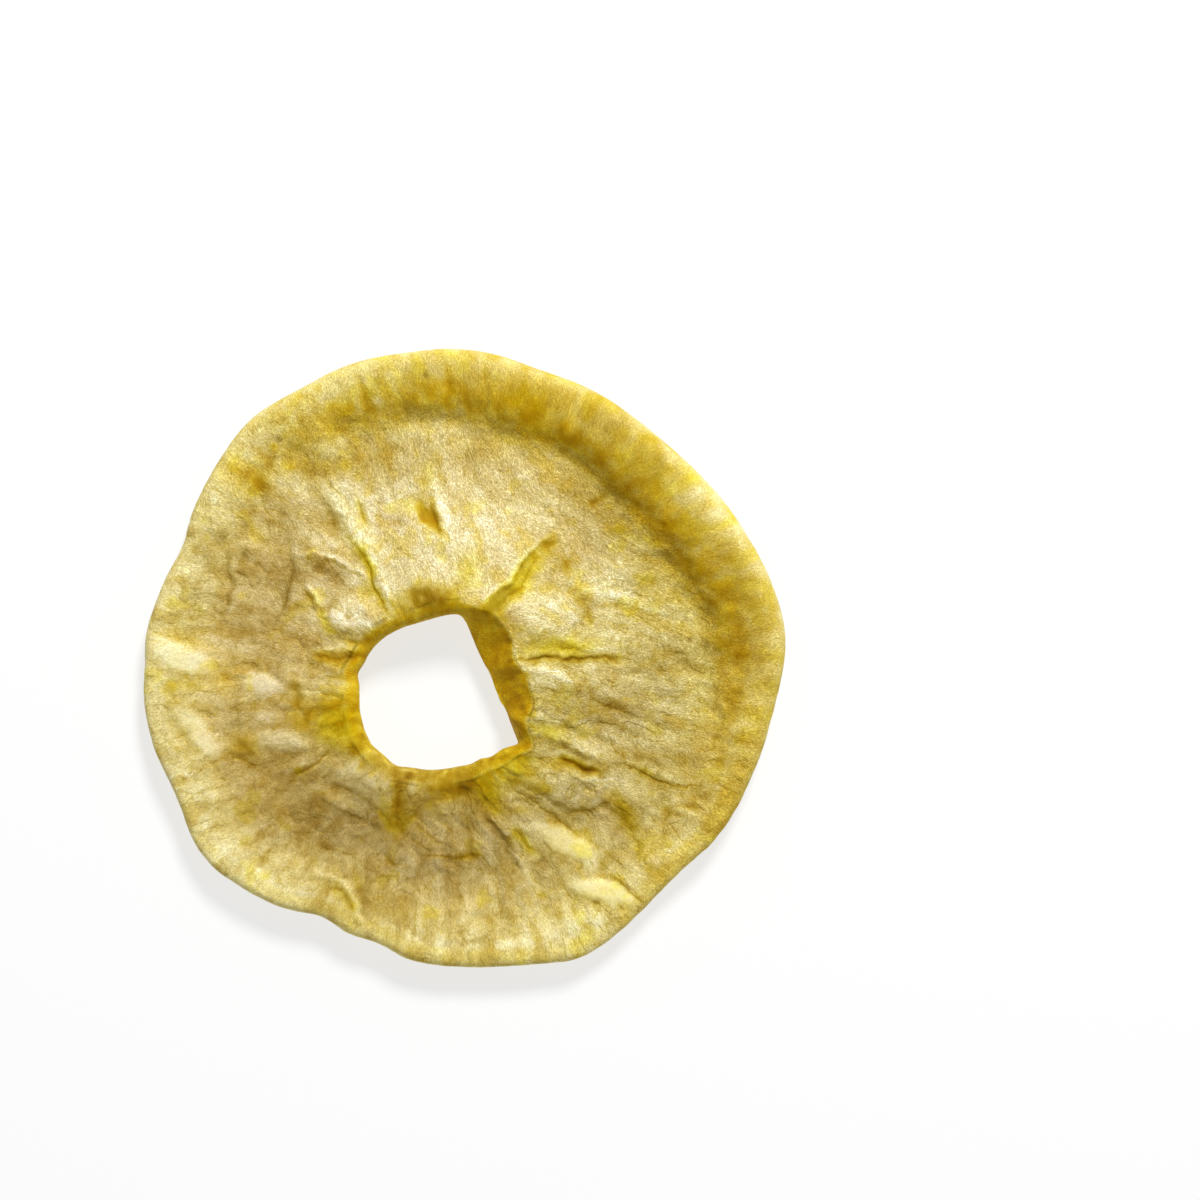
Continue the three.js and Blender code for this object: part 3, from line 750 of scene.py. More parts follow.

# Patches of colour: mostly the flesh's own stains, with some painted shade and painted light, marked
# below.
STAINS_AND_PAINTED_LIGHT = (
    *stains(
        Tint.TAN,
        (20.5, 10.5, 2.5, 2.5, 0, 0.9), (22.5, 0.5, 4.0, 2.5, 0, 0.8), (31.3, 0.0, 1.2, 3.0, 0, 0.6),
        (28.6, -4.0, 1.5, 3.0, 0, 0.4), (20.0, -15.0, 3.0, 2.5, 0, 0.9),
        (22.5, -10.0, 4.0, 2.5, 0, 0.6), (15.0, 15.0, 2.5, 2.5, 0, 0.5), (30.3, 0.5, 1.5, 3.0, 0, 0.9),
        (10.0, 10.0, 2.0, 2.0, 0, 0.6), (-30.0, -5.2, 2.0, 2.0, 0, 0.25),
        (15.0, 25.0, 2.5, 2.0, 0, 0.7), (20.0, 20.5, 2.5, 2.0, 0, 0.7),
        (-5.0, -15.0, 3.0, 2.0, 0, 0.5), (16.9, 14.1, 3.0, 1.5, -50, 0.6),
        (12.6, 18.0, 3.0, 1.5, -35, 0.7), (1.9, 21.9, 3.0, 1.5, 0, 0.8),
        (-16.0, -19.0, 3.0, 3.0, 0, 0.3), (25.5, -14.7, 1.5, 2.0, 0, 0.4),
        # (-15.6, 15.0) is painted shade beside the wedge ridge.
        (28.3, -5.0, 1.2, 2.5, 0, 0.4), (-15.6, 15.0, 2.2, 2.2, 0, 0.7),
        (-20.0, 15.0, 2.5, 2.0, 0, 0.5), (-30.0, 5.5, 2.0, 3.0, 0, 0.5),
        (-20.0, -15.5, 2.5, 2.0, 0, 0.4), (-20.0, -11.8, 3.5, 2.5, 0, 0.5),
        (-9.5, -26.0, 4.0, 2.5, 0, 0.8), (17.8, -21.2, 3.0, 2.5, 0, 0.5),
        (7.9, -21.6, 2.5, 2.0, 0, 0.4), (-9.5, 20.9, 4.0, 2.0, 0, 0.9),
        (-21.0, 12.0, 3.0, 3.0, 0, 0.4), (-16.7, 20.0, 2.5, 1.6, 0, 0.4),
        (-24.5, 4.5, 3.0, 4.0, 0, 0.3), (28.6, 9.0, 1.5, 5.0, 25, 0.6),
        (6.0, 18.5, 8.0, 3.0, -10, 0.4), (28.5, 5.0, 3.0, 9.0, 0, 0.3),
    ),
    *stains(
        Tint.DULL_AND_SHADE,
        # (15.0, -15.5) is painted shade beside the end of a crease.
        (20.0, -20.0, 2.2, 2.2, 0, 0.6), (4.8, 4.6, 1.6, 1.4, 0, 0.5), (15.0, -15.5, 2.5, 2.0, 0, 0.6),
        # (12.8, -3.8) is painted shade along a fold.
        (5.0, -15.4, 2.2, 1.8, 0, 0.4), (12.8, -3.8, 2.2, 1.0, -25, 0.2),
        (12.8, 11.5, 3.5, 2.5, 0, 0.5), (-20.0, 5.0, 5.0, 10.0, 0, 0.6),
        (-19.5, -14.0, 6.0, 7.0, 30, 0.6), (-10.0, -19.0, 8.0, 5.0, -25, 0.5),
        (-3.0, -19.5, 9.0, 6.5, 0, 0.8), (10.0, -15.0, 7.0, 4.0, -15, 0.35),
        # (-14.4, 9.4) on this row and (-7.6, 14.5) and (15.0, -6.2) on the next are painted shade in
        # hollows by ridges and folds.
        (16.5, -6.0, 9.0, 7.0, -15, 0.7), (-14.4, 9.4, 2.0, 1.1, -15, 0.45),
        (-7.6, 14.5, 2.6, 1.2, 0, 0.3), (15.0, -6.2, 3.2, 1.2, -18, 0.4),
        (-12.0, -18.0, 4.0, 1.8, -15, 0.4),
    ),
    *stains(
        Tint.CREAM,
        (30.3, -2.5, 1.5, 5.0, 0, 0.4), (20.5, -20.0, 2.0, 1.8, 0, 0.6),
        # (6.8, -18.6) is painted light over the shade of a groove.
        (0.0, -30.2, 8.0, 1.5, 0, 0.5), (6.8, -18.6, 1.8, 1.0, -30, 0.9),
        (-22.2, -4.0, 2.0, 1.5, 0, 0.7), (-7.5, -20.7, 1.8, 1.2, 0, 0.5),
        # (12.9, -15.3) is painted light over the shade of a crease.
        (12.9, -15.3, 1.8, 1.2, 0, 0.6), (10.6, -29.1, 2.0, 1.0, 0, 0.5),
        (0.0, -28.0, 2.5, 1.2, 0, 0.4), (-5.5, -30.0, 3.0, 1.5, 0, 0.5),
        (5.5, -29.5, 3.0, 1.5, 0, 0.5), (-25.5, 9.5, 2.0, 2.0, 0, 0.3),
        (-27.5, -4.9, 2.0, 2.0, 0, 0.5), (23.5, -4.1, 3.0, 2.0, 0, 0.5),
        (30.8, -5.5, 1.5, 4.0, 0, 0.4), (1.0, 13.0, 9.0, 7.0, 0, 0.7), (-10.0, 15.0, 4.0, 4.0, 0, 0.7),
        (10.4, -19.3, 3.2, 1.2, -32, 0.5), (17.0, 9.0, 6.0, 3.0, 0, 0.3),
        (-29.5, 0.0, 4.0, 4.0, 0, 0.9), (-24.0, -20.5, 6.0, 3.0, -50, 0.7),
        (-4.0, -30.5, 9.0, 1.8, -4, 0.3), (14.5, -25.8, 7.0, 2.5, 30, 0.8),
        (26.8, 17.0, 1.8, 8.0, 32, 1.0), (-14.0, 29.5, 7.0, 1.6, 22, 0.7),
        (28.0, 5.5, 0.7, 0.4, 20, 1.2), (15.6, 7.2, 1.4, 0.5, -12, 0.9),
        (-18.8, -11.9, 0.5, 0.35, 0, 1.2),
    ),
    *stains(
        Tint.GOLD,
        (-3.5, -15.0, 4.5, 1.8, 0, 0.5), (10.5, -19.8, 3.5, 1.5, -32, 0.35),
        (14.5, -25.2, 4.0, 1.5, -16, 0.35), (9.5, 27.2, 5.0, 1.4, -20, 0.8),
        (1.5, 29.2, 4.5, 1.2, 0, 0.8), (-5.0, 29.0, 3.0, 1.1, 8, 0.8),
        (16.1, 22.9, 3.0, 1.4, -35, 0.5), (26.1, 12.2, 1.5, 3.5, 25, 0.6),
        (29.0, 5.1, 1.3, 3.0, 10, 0.6), (6.0, 27.0, 3.8, 2.2, 0, 1.0), (-13.0, 25.3, 4.0, 1.2, 8, 0.9),
        (-23.4, 19.4, 2.3, 1.5, -30, 1.3), (-25.6, -1.8, 2.2, 1.6, 0, 0.8),
        (-16.0, 20.8, 3.4, 1.0, 0, 0.7), (20.2, 17.0, 1.2, 3.8, 18, 1.0),
        (21.5, -22.4, 3.4, 1.2, 42, 0.6), (28.0, -16.4, 1.4, 4.0, 0, 0.8),
        (-16.2, -5.4, 1.6, 2.4, 0, 0.7),
    ),
    *stains(
        Tint.YELLOW,
        (-12.3, 15.6, 4.0, 1.4, -58, 0.12), (-7.2, -16.6, 1.0, 1.7, 0, 0.8),
        (6.6, 26.8, 3.4, 1.7, -10, 0.5), (-13.2, -6.4, 1.9, 2.2, 0, 2.0), (0.6, 9.4, 1.2, 1.8, 0, 0.5),
        (11.0, 1.7, 3.0, 0.6, 0, 0.7), (-17.4, -11.8, 0.45, 0.35, 0, 1.6),
        (17.2, -16.0, 0.6, 1.6, 30, 0.8), (9.0, -7.6, 1.6, 0.8, -20, 0.8),
        (5.4, -11.2, 1.9, 1.7, 0, 1.5), (2.5, -13.4, 1.1, 1.9, 30, 1.5),
        (16.4, 14.0, 0.6, 0.6, 0, 0.7), (19.4, 8.6, 0.9, 0.8, 0, 0.5),
    ),
    *stains(
        Tint.AMBER,
        (-3.3, 6.5, 2.4, 1.3, 0, 1.4), (-0.8, -13.4, 2.4, 1.1, 0, 1.8), (0.5, -20.8, 1.1, 0.4, 8, 1.2),
        (-21.9, 18.9, 0.7, 1.0, 0, 1.0), (-31.0, -2.9, 0.9, 0.6, 20, 0.9),
        (-28.6, -2.9, 1.0, 0.4, -10, 0.7), (-23.2, -9.0, 1.5, 1.1, 0, 0.8),
        (11.2, 23.6, 1.1, 1.7, 0, 0.5), (-1.5, 28.8, 0.9, 1.3, 0, 0.4),
        (14.4, 21.8, 1.4, 0.9, -30, 0.4), (-9.5, 26.6, 1.4, 0.7, 0, 0.35),
    ),
    *stains(
        Tint.BROWN,
        (24.2, 2.2, 0.22, 0.22, 0, 2.5), (-19.5, 23.2, 0.22, 0.22, 0, 2.5),
        (-9.0, -13.6, 0.22, 0.22, 0, 2.5), (20.7, -6.9, 0.22, 0.22, 0, 2.5),
        (-3.8, 30.2, 0.22, 0.22, 0, 2.5), (-3.3, 6.5, 2.3, 1.2, 0, 1.6),
        (0.2, -13.6, 1.4, 0.6, 0, 0.4), (-26.4, 13.2, 1.6, 0.8, 0, 0.6),
        (16.0, 19.0, 3.4, 2.0, -50, 0.3),
    ),
)


# ---- Noise on the skin ----


@dataclass(frozen=True)
class Ease:
    """A smooth rise from 0 at low to 1 at high."""

    low: float
    high: float

    def at(self, values: Array, start: float | Array = 0.0) -> Array:
        """Give the share at each value, with both ends moved on by start."""
        return smooth_step(start + self.low, start + self.high, values)


@dataclass(frozen=True)
class Bumps:
    """Rounded bumps: their size, how much they count, and where in the noise they are taken."""

    size: float
    amount: float
    shift: float = 0.0

    def of(self, noise: GradientNoise, points: Array) -> Array:
        """Give the bumps' amount times the noise at each point."""
        return self.amount * noise.at(points + self.shift, self.size)


@dataclass(frozen=True)
class Stroke:
    """Strokes along the fibres: width, length, how much they count, and where they are taken."""

    width: float
    length: float
    amount: float = 1.0
    shift: float = 0.0


@dataclass(frozen=True)
class FleshNoise:
    """The flesh's seeded noises, and the ways they are drawn out, leant over and creased."""

    warp: GradientNoise = field(default_factory=lambda: GradientNoise(11))
    lump: GradientNoise = field(default_factory=lambda: GradientNoise(23))
    fibre: GradientNoise = field(default_factory=lambda: GradientNoise(37))
    grain: GradientNoise = field(default_factory=lambda: GradientNoise(53))
    stain: GradientNoise = field(default_factory=lambda: GradientNoise(71))
    stir: tuple[Bumps, ...] = (Bumps(3.2, 0.3), Bumps(1.1, 0.18), Bumps(0.5, 0.1))
    stir_shift: float = 91.0
    places: int = 9
    drawn_gain: float = 2.0
    shadow_turn: float = LAMP_TURN + 180.0
    overlap: float = 0.5
    crease_gain: float = 1.3

    def stirred(self, points: Array) -> Array:
        """Move points a little across the plan, so that what is drawn at them has uneven edges.

        Args:
            points: The skin's points.

        Returns:
            The points, with the sum of three sizes of noise added to x and again to y.
        """
        moved = points.copy()
        for axis, shift in enumerate((0.0, self.stir_shift)):
            moved[..., axis] += sum(bumps.of(self.warp, points + shift) for bumps in self.stir)
        return moved

    def fibres(self, points: Array, direction: Array, stroke: Stroke) -> Array:
        """Draw noise out along the fibres.

        It is the mean of the noise at places evenly spaced up and down the fibre, so it
        changes slowly along it and quickly across it.

        Args:
            points: The skin's points.
            direction: The fibre's way at each point.
            stroke: The strokes' size and amount.

        Returns:
            The amount times the drawn-out noise.
        """
        steps = np.linspace(-0.5, 0.5, self.places) * stroke.length
        place = points + stroke.shift
        drawn = sum(self.fibre.at(place + direction * step, stroke.width) for step in steps)
        return stroke.amount * self.drawn_gain * drawn / self.places

    def flakes(self, points: Array, direction: Array, stroke: Stroke) -> Array:
        """Draw fibres that lean over, each overlapping the next on the side away from the light.

        The drawn-out noise is taken again at points moved towards the light by its own first
        value, which steepens its far side.

        Args:
            points: The skin's points.
            direction: The fibre's way at each point.
            stroke: The flakes' size and amount.

        Returns:
            The amount times the leaning noise.
        """
        turn = math.radians(self.shadow_turn)
        lean = np.array([math.cos(turn), math.sin(turn), 0.0])
        first = self.fibres(points, direction, stroke) / stroke.amount
        moved = points - self.overlap * stroke.width * first[..., None] * lean
        return self.fibres(moved, direction, stroke)

    def creases(self, points: Array, bumps: Bumps, power: float) -> Array:
        """Puff the flesh between thin creases.

        The creases are where smooth noise passes through nothing: the height there is -1 and
        rises to 1 with a power of the noise's size.

        Args:
            points: The skin's points.
            bumps: The puffs' size and amount.
            power: The lower it is, the more sudden the puffs' sides are.

        Returns:
            The amount times the puffs.
        """
        size = np.abs(self.lump.at(points + bumps.shift, bumps.size))
        return bumps.amount * (2.0 * np.minimum(size * self.crease_gain, 1.0) ** power - 1.0)


# ---- The skin at work ----


def sunk(height: Array, reach: int) -> Array:
    """Say how far each point lies below its surroundings.

    It is the mean height of the points within a reach along both ways of the grid, less the
    point's own height.

    Args:
        height: The relief's height at each point.
        reach: How many points to take to each side.

    Returns:
        The depth of each point, in millimetres.
    """
    steps = range(-reach, reach + 1)
    across = sum(np.roll(height, step, axis=0) for step in steps) / len(steps)
    both = sum(np.roll(across, step, axis=1) for step in steps) / len(steps)
    return both - height


def climb(points: Array, height: Array, turn: float) -> Array:
    """Say how steeply the relief climbs in one direction across the plan.

    The height's changes to the next point both ways of the grid are solved for its slope
    along x and y, whose product with the direction is taken.

    Args:
        points: The skin's points.
        height: The relief's height at each.
        turn: The direction, in degrees.

    Returns:
        The slope at each point, in millimetres for each millimetre.
    """
    least = 0.01
    change = [
        np.roll(values, -1, axis=axis) - np.roll(values, 1, axis=axis)
        for values in (points[..., 0], points[..., 1], height)
        for axis in (0, 1)
    ]
    across_x, out_x, across_y, out_y, across_h, out_h = change
    area = across_x * out_y - out_x * across_y
    area = np.where(np.abs(area) < least, least * np.where(area < 0.0, -1.0, 1.0), area)
    slope_x = (across_h * out_y - out_h * across_y) / area
    slope_y = (across_x * out_h - out_x * across_h) / area
    way = math.radians(turn)
    return slope_x * math.cos(way) + slope_y * math.sin(way)


def line_distance(points: Array, values: Array) -> Array:
    """Measure how far each point is from where a smooth field passes through nothing.

    It is the field over the length of its slope, worked out between neighbours on the grid
    both ways.

    Args:
        points: The skin's points.
        values: The field at each.

    Returns:
        The signed distance, in millimetres, good close to the line.
    """
    least_run, least_slope = 0.05, 0.12
    slopes = []
    for axis in (0, 1):
        rise = np.roll(values, -1, axis=axis) - np.roll(values, 1, axis=axis)
        run = np.roll(points, -1, axis=axis) - np.roll(points, 1, axis=axis)
        slopes.append(rise / np.maximum(np.linalg.norm(run, axis=-1), least_run))
    return values / (np.hypot(*slopes) + least_slope)


@dataclass
class Flesh:
    """The skin while it is worked: its grid, the height raised from it and its layers of tint.

    lump, grain and strands are noises that several features share. sleek says where the skin
    is smooth, and line how strong the nearest fold's line is, line_away millimetres off.
    """

    grid: SkinGrid
    form: RingForm
    noise: FleshNoise = field(default_factory=FleshNoise)
    fibre_turn: tuple[float, ...] = (165, 158, 140, 110, 122, 150, 180, 205, 240, 270, 305, 333)
    rim_along: Ease = Ease(0.8, 0.93)
    rim_curled: Ease = Ease(20.0, 50.0)
    lump_size: float = 5.0
    grain_size: float = 0.8
    strand: Stroke = Stroke(0.7, 4.0, 1.0, 33.0)
    farthest_line: float = 2.0

    def __post_init__(self) -> None:
        """Stir the points, lay out the fibres and start with no height and no tint."""
        grid = self.grid
        shape = grid.points.shape[:2]
        self.top = grid.top[None, :]
        self.wall = grid.wall[None, :]
        self.along = grid.along[None, :]
        self.stirred = self.noise.stirred(grid.points)
        self.curl = self.round_ring(self.form.rim_curl)
        self.smooth_rim = self.rim_along.at(self.along) * self.rim_curled.at(self.curl)
        self.direction = self.fibre_direction()
        self.lump = self.noise.lump.at(grid.points, self.lump_size)
        self.grain = self.noise.grain.at(grid.points, self.grain_size)
        self.strands = self.fibres(self.strand)
        self.height = np.zeros(shape)
        self.sleek = np.zeros(shape)
        self.line = np.zeros(shape)
        self.line_away = np.full(shape, self.farthest_line)
        self.layers = {tint: np.zeros(shape) for tint in Tint}

    def round_ring(self, values: Sequence[float]) -> Array:
        """Run a table of values round the ring, one for each section."""
        return round_table(values, self.grid.degrees)[:, None]

    def fibres(self, stroke: Stroke) -> Array:
        """Draw strokes out along the fibres at the skin's points."""
        return self.noise.fibres(self.grid.points, self.direction, stroke)

    def calm(self) -> Array:
        """Say how much of its roughness each point keeps: less on the sleek mounds."""
        return 1.0 - np.clip(self.sleek, 0.0, 1.0) * self.top

    def tint(self, tint: Tint, share: Array) -> None:
        """Add a share of the skin to a tint's layer."""
        self.layers[tint] += share

    def fibre_direction(self) -> Array:
        """Give the way the fibres run at each point, as unit vectors.

        Fibres have no sense, so the doubled direction is smoothed round the ring, drawn over
        to the radial one along the rim, and then halved.

        Returns:
            One vector for each point.
        """
        doubled = np.radians(np.array(self.fibre_turn, float) * 2.0)
        radial = np.radians(self.grid.degrees * 2.0)[:, None]
        across, away = self.round_ring(np.sin(doubled)), self.round_ring(np.cos(doubled))
        across = across + (np.sin(radial) - across) * self.smooth_rim
        away = away + (np.cos(radial) - away) * self.smooth_rim
        turn = np.arctan2(across, away) / 2.0
        return np.stack([np.cos(turn), np.sin(turn), np.zeros_like(turn)], axis=-1)


# ---- What is worked into the skin ----


@dataclass(frozen=True)
class Marks:
    """The folds, mounds and stains that have their own places."""

    folds: tuple[Fold, ...] = UPPER_FOLDS + LOWER_FOLDS
    mounds: tuple[Mound, ...] = MOUNDS
    stains: tuple[Stain, ...] = STAINS_AND_PAINTED_LIGHT

    def work(self, flesh: Flesh) -> None:
        """Raise the folds and mounds and lay their tints and the stains, on the top only.

        Where the lines of two folds meet, the stronger is kept.

        Args:
            flesh: The skin to work.
        """
        x, y = flesh.stirred[..., 0], flesh.stirred[..., 1]
        for fold in self.folds:
            rise, mask, away, strong = fold.shape(x, y)
            flesh.height += rise
            flesh.tint(fold.tint, fold.strength * mask)
            stronger = strong > flesh.line
            flesh.line = np.where(stronger, strong, flesh.line)
            flesh.line_away = np.where(stronger, away, flesh.line_away)
        for mound in self.mounds:
            mask = mound.shape(x, y)
            flesh.height += mound.height * mask
            flesh.tint(mound.tint, mound.strength * mask)
            flesh.sleek += mound.sleek * mask
        for stain in self.stains:
            flesh.tint(stain.tint, stain.strength * stain.shape(x, y))
        for values in (flesh.height, *flesh.layers.values()):
            values *= flesh.top


@dataclass(frozen=True)
class Texture:
    """The flesh's lumps, flakes, puffs between creases and grain, all over."""

    flake_share: tuple[float, ...] = (0.75, 0.5, 0.25, 0.2, 0.3, 0.4, 0.45, 0.4, 0.35, 0.55, 0.8, 0.9)
    pillow_share: tuple[float, ...] = (0.5, 0.45, 0.3, 0.25, 0.5, 0.65, 0.7, 0.65, 0.75, 0.7, 0.65, 0.6)
    lump_height: float = 0.35
    flake: Stroke = Stroke(1.7, 5.0, 0.24)
    fine_flake: Stroke = Stroke(0.9, 2.6, 0.055, 40.0)
    crinkle: Stroke = Stroke(0.55, 1.1, 0.01, 80.0)
    pillow: Bumps = Bumps(4.2, 0.15, 17.0)
    pillow_power: float = 0.7
    pucker: Bumps = Bumps(1.9, 0.03, 31.0)
    pucker_power: float = 0.8
    grain_height: float = 0.02
    fine_grain: Bumps = Bumps(0.45, 0.02, 7.0)
    ripple: Stroke = Stroke(1.5, 4.0, 0.16, 90.0)
    crest: Ease = Ease(0.93, 1.0)
    rim_calms: float = 0.8
    wall_calms: float = 0.6
    crest_calms: float = 0.6

    def work(self, flesh: Flesh) -> None:
        """Add the texture's height: less on the rim, its crest, the wall and sleek mounds.

        Args:
            flesh: The skin to work.
        """
        points, direction, noise = flesh.grid.points, flesh.direction, flesh.noise
        crest = self.crest.at(flesh.along)
        rough = (1.0 - self.rim_calms * flesh.smooth_rim) * (1.0 - self.wall_calms * flesh.wall)
        rough = rough * (1.0 - self.crest_calms * crest)
        flakes = noise.flakes(points, direction, self.flake)
        flakes += noise.flakes(points, direction, self.fine_flake)
        relief = flesh.round_ring(self.flake_share) * flakes
        relief += noise.flakes(points, direction, self.crinkle)
        pillows = noise.creases(flesh.stirred, self.pillow, self.pillow_power)
        relief += flesh.round_ring(self.pillow_share) * pillows
        relief += noise.creases(flesh.stirred, self.pucker, self.pucker_power)
        relief += self.grain_height * flesh.grain + self.fine_grain.of(noise.grain, points)
        flesh.height += rough * (self.lump_height * flesh.lump + relief * flesh.calm())
        flesh.height += flesh.fibres(self.ripple) * flesh.smooth_rim * (1.0 - crest) * flesh.top


@dataclass(frozen=True)
class CoredEdge:
    """The flesh at the cored hole: amber along its edge, honey and brown down its wall."""

    amber_width: tuple[float, ...] = (0.4, 0.3, 0.8, 1.3, 1.0, 0.6, 1.4, 1.2, 0.6, 1.2, 2.2, 1.0)
    amber_from: float = 0.6
    amber_fade: Ease = Ease(0.2, 1.8)
    amber_least: float = 0.2
    width_lump: float = 0.6
    width_strand: float = 1.1
    wall_honey: tuple[float, ...] = (2.1, 2.1, 1.6, 1.0, 1.0, 1.0, 1.2, 0.7, 0.2, 0.4, 0.8, 1.9)
    wall_down: Ease = Ease(0.0, 0.12)
    wall_brown: float = 0.6
    wall_brown_strand: float = 0.8
    wall_amber: float = 0.2
    wall_share: float = 0.5
    lip_near: Ease = Ease(0.2, 2.0)
    brink: Ease = Ease(0.3, 1.4)
    brink_bumps: tuple[Bumps, ...] = (Bumps(1.5, 0.3, 3.0), Bumps(0.7, 0.15, 11.0))
    torn: Ease = Ease(0.2, 1.1)
    edge_amber: float = 0.45
    edge_honey: float = 0.5
    honey_strand: Ease = Ease(-0.5, 0.6)
    edge_tan: float = 0.4
    wall_tan: float = 0.3

    def work(self, flesh: Flesh) -> None:
        """Tint the edge and the wall, and bump the brink over the seed chamber's wall.

        The edge's band fades with the distance from the hole over a width that lumps and
        strands make uneven. The wall is browner towards the near side of the ring.

        Args:
            flesh: The skin to work.
        """
        points, form, top, wall = flesh.grid.points, flesh.form, flesh.top, flesh.wall
        hole = form.edge(form.hole_radius, form.hole_swells, flesh.grid.degrees)
        off = np.linalg.norm(points[..., :2] - np.array(form.hole_centre), axis=-1) - hole[:, None]
        uneven = 1.0 + self.width_lump * flesh.lump + self.width_strand * flesh.strands
        width = np.maximum(flesh.round_ring(self.amber_width) * uneven, self.amber_least)
        edge = 1.0 - self.amber_fade.at((off - self.amber_from) / width)
        inside = wall * self.wall_down.at(1.0 - top)
        lip = self.lip_near.at(form.lip_reach(flesh.grid.degrees, hole))[:, None]
        brink = lip * (1.0 - self.brink.at(off)) * top
        flesh.height += brink * sum(bumps.of(flesh.noise.grain, points) for bumps in self.brink_bumps)
        flesh.tint(Tint.CREAM, lip * (1.0 - self.torn.at(off)) * (1.0 - wall))
        band = edge * (1.0 - self.wall_share * wall)
        flesh.tint(Tint.AMBER, self.edge_amber * band + self.wall_amber * inside * lip)
        flesh.tint(Tint.HONEY, self.edge_honey * band * self.honey_strand.at(flesh.strands))
        flesh.tint(Tint.HONEY, inside * flesh.round_ring(self.wall_honey))
        near_side = np.maximum(-np.sin(np.radians(flesh.grid.degrees)), 0.0)[:, None]
        brown = self.wall_brown + self.wall_brown_strand * flesh.strands
        flesh.tint(Tint.BROWN, brown * inside * near_side)
        flesh.tint(Tint.TAN, (self.edge_tan * edge + self.wall_tan * inside) * flesh.strands)


@dataclass(frozen=True)
class CurledRim:
    """The bend of flesh into the curled rim, the rim's golden foot, its facets and its edge."""

    start_lump: float = 0.05
    start_strand: float = 0.03
    bend_rise: Ease = Ease(-0.1, 0.04)
    bend_fall: Ease = Ease(0.1, 0.28)
    bend_curl: Ease = Ease(14.0, 36.0)
    bend_bumps: tuple[Bumps, ...] = (Bumps(3.6, 0.32, 13.0), Bumps(1.7, 0.12, 23.0))
    bend_cream: float = 0.35
    bend_gold: float = 0.3
    foot_rise: Ease = Ease(0.02, 0.24)
    foot_fall: Ease = Ease(0.92, 0.99)
    foot_curl: Ease = Ease(20.0, 45.0)
    foot_stroke: Stroke = Stroke(1.2, 5.0, 0.9, 71.0)
    foot_strand: float = 0.6
    flat_gold: float = 0.1
    foot_gold: float = 1.5
    foot_honey: float = 0.25
    foot_core: float = 0.7
    core_amber: float = 0.4
    facet: Stroke = Stroke(2.1, 3.5, 1.0, 15.0)
    facet_side: Ease = Ease(0.0, 0.35)
    facet_tint: float = 0.5
    gold_band: Ease = Ease(0.95, 1.0)
    edge_gold: tuple[float, ...] = (0.5, 0.2, 0.35, 0.3, 0.4, 0.2, 0.1, 0.2, 0.4, 0.6, 0.3, 0.9)
    cream_band: Ease = Ease(0.86, 1.0)
    edge_cream: tuple[float, ...] = (0.3, 0.3, 0.0, 0.2, 0.6, 0.9, 0.7, 1.1, 0.9, 0.8, 0.8, 0.4)

    def work(self, flesh: Flesh) -> None:
        """Bump the bend, paint light over its shade, and tint the foot, the rim's facets and its edge.

        The bend lies about the place where the curl starts, which lumps and strands make
        uneven, and the foot lies beyond it. Both are the stronger the more the rim curls.

        Args:
            flesh: The skin to work.
        """
        along, top = flesh.along, flesh.top
        start = flesh.round_ring(flesh.form.curl_start)
        start = start + self.start_lump * flesh.lump + self.start_strand * flesh.strands
        bend = self.bend_rise.at(along, start) * (1.0 - self.bend_fall.at(along, start)) * top
        bend = bend * self.bend_curl.at(flesh.curl)
        for bumps in self.bend_bumps:
            flesh.height += bend * bumps.of(flesh.noise.lump, flesh.grid.points)
        # Painted light: cream and gold lift and warm the shade on the bend's bumps and steep start.
        flesh.tint(Tint.CREAM, self.bend_cream * bend)
        flesh.tint(Tint.GOLD, self.bend_gold * bend)

        foot = self.foot_rise.at(along, start) * (1.0 - self.foot_fall.at(along)) * top
        foot = foot * (1.0 + flesh.fibres(self.foot_stroke) + self.foot_strand * flesh.strands)
        curled = self.foot_curl.at(flesh.curl)
        flesh.tint(Tint.GOLD, foot * (self.flat_gold + self.foot_gold * curled))
        flesh.tint(Tint.HONEY, self.foot_honey * foot * curled)
        core = np.maximum(foot - self.foot_core, 0.0) * curled
        flesh.tint(Tint.AMBER, self.core_amber * core)

        # Random facets drawn along the fibres: yellow on one half of the noise, cream on the other; no
        # light or shade.
        facet = flesh.fibres(self.facet)
        yellow_facets, cream_facets = self.facet_side.at(facet), self.facet_side.at(-facet)
        flesh.tint(Tint.YELLOW, self.facet_tint * flesh.smooth_rim * yellow_facets)
        flesh.tint(Tint.CREAM, self.facet_tint * flesh.smooth_rim * cream_facets)
        outside = 1.0 - flesh.wall
        gold, cream = flesh.round_ring(self.edge_gold), flesh.round_ring(self.edge_cream)
        flesh.tint(Tint.GOLD, self.gold_band.at(along) * outside * gold)
        flesh.tint(Tint.CREAM, self.cream_band.at(along) * outside * cream)


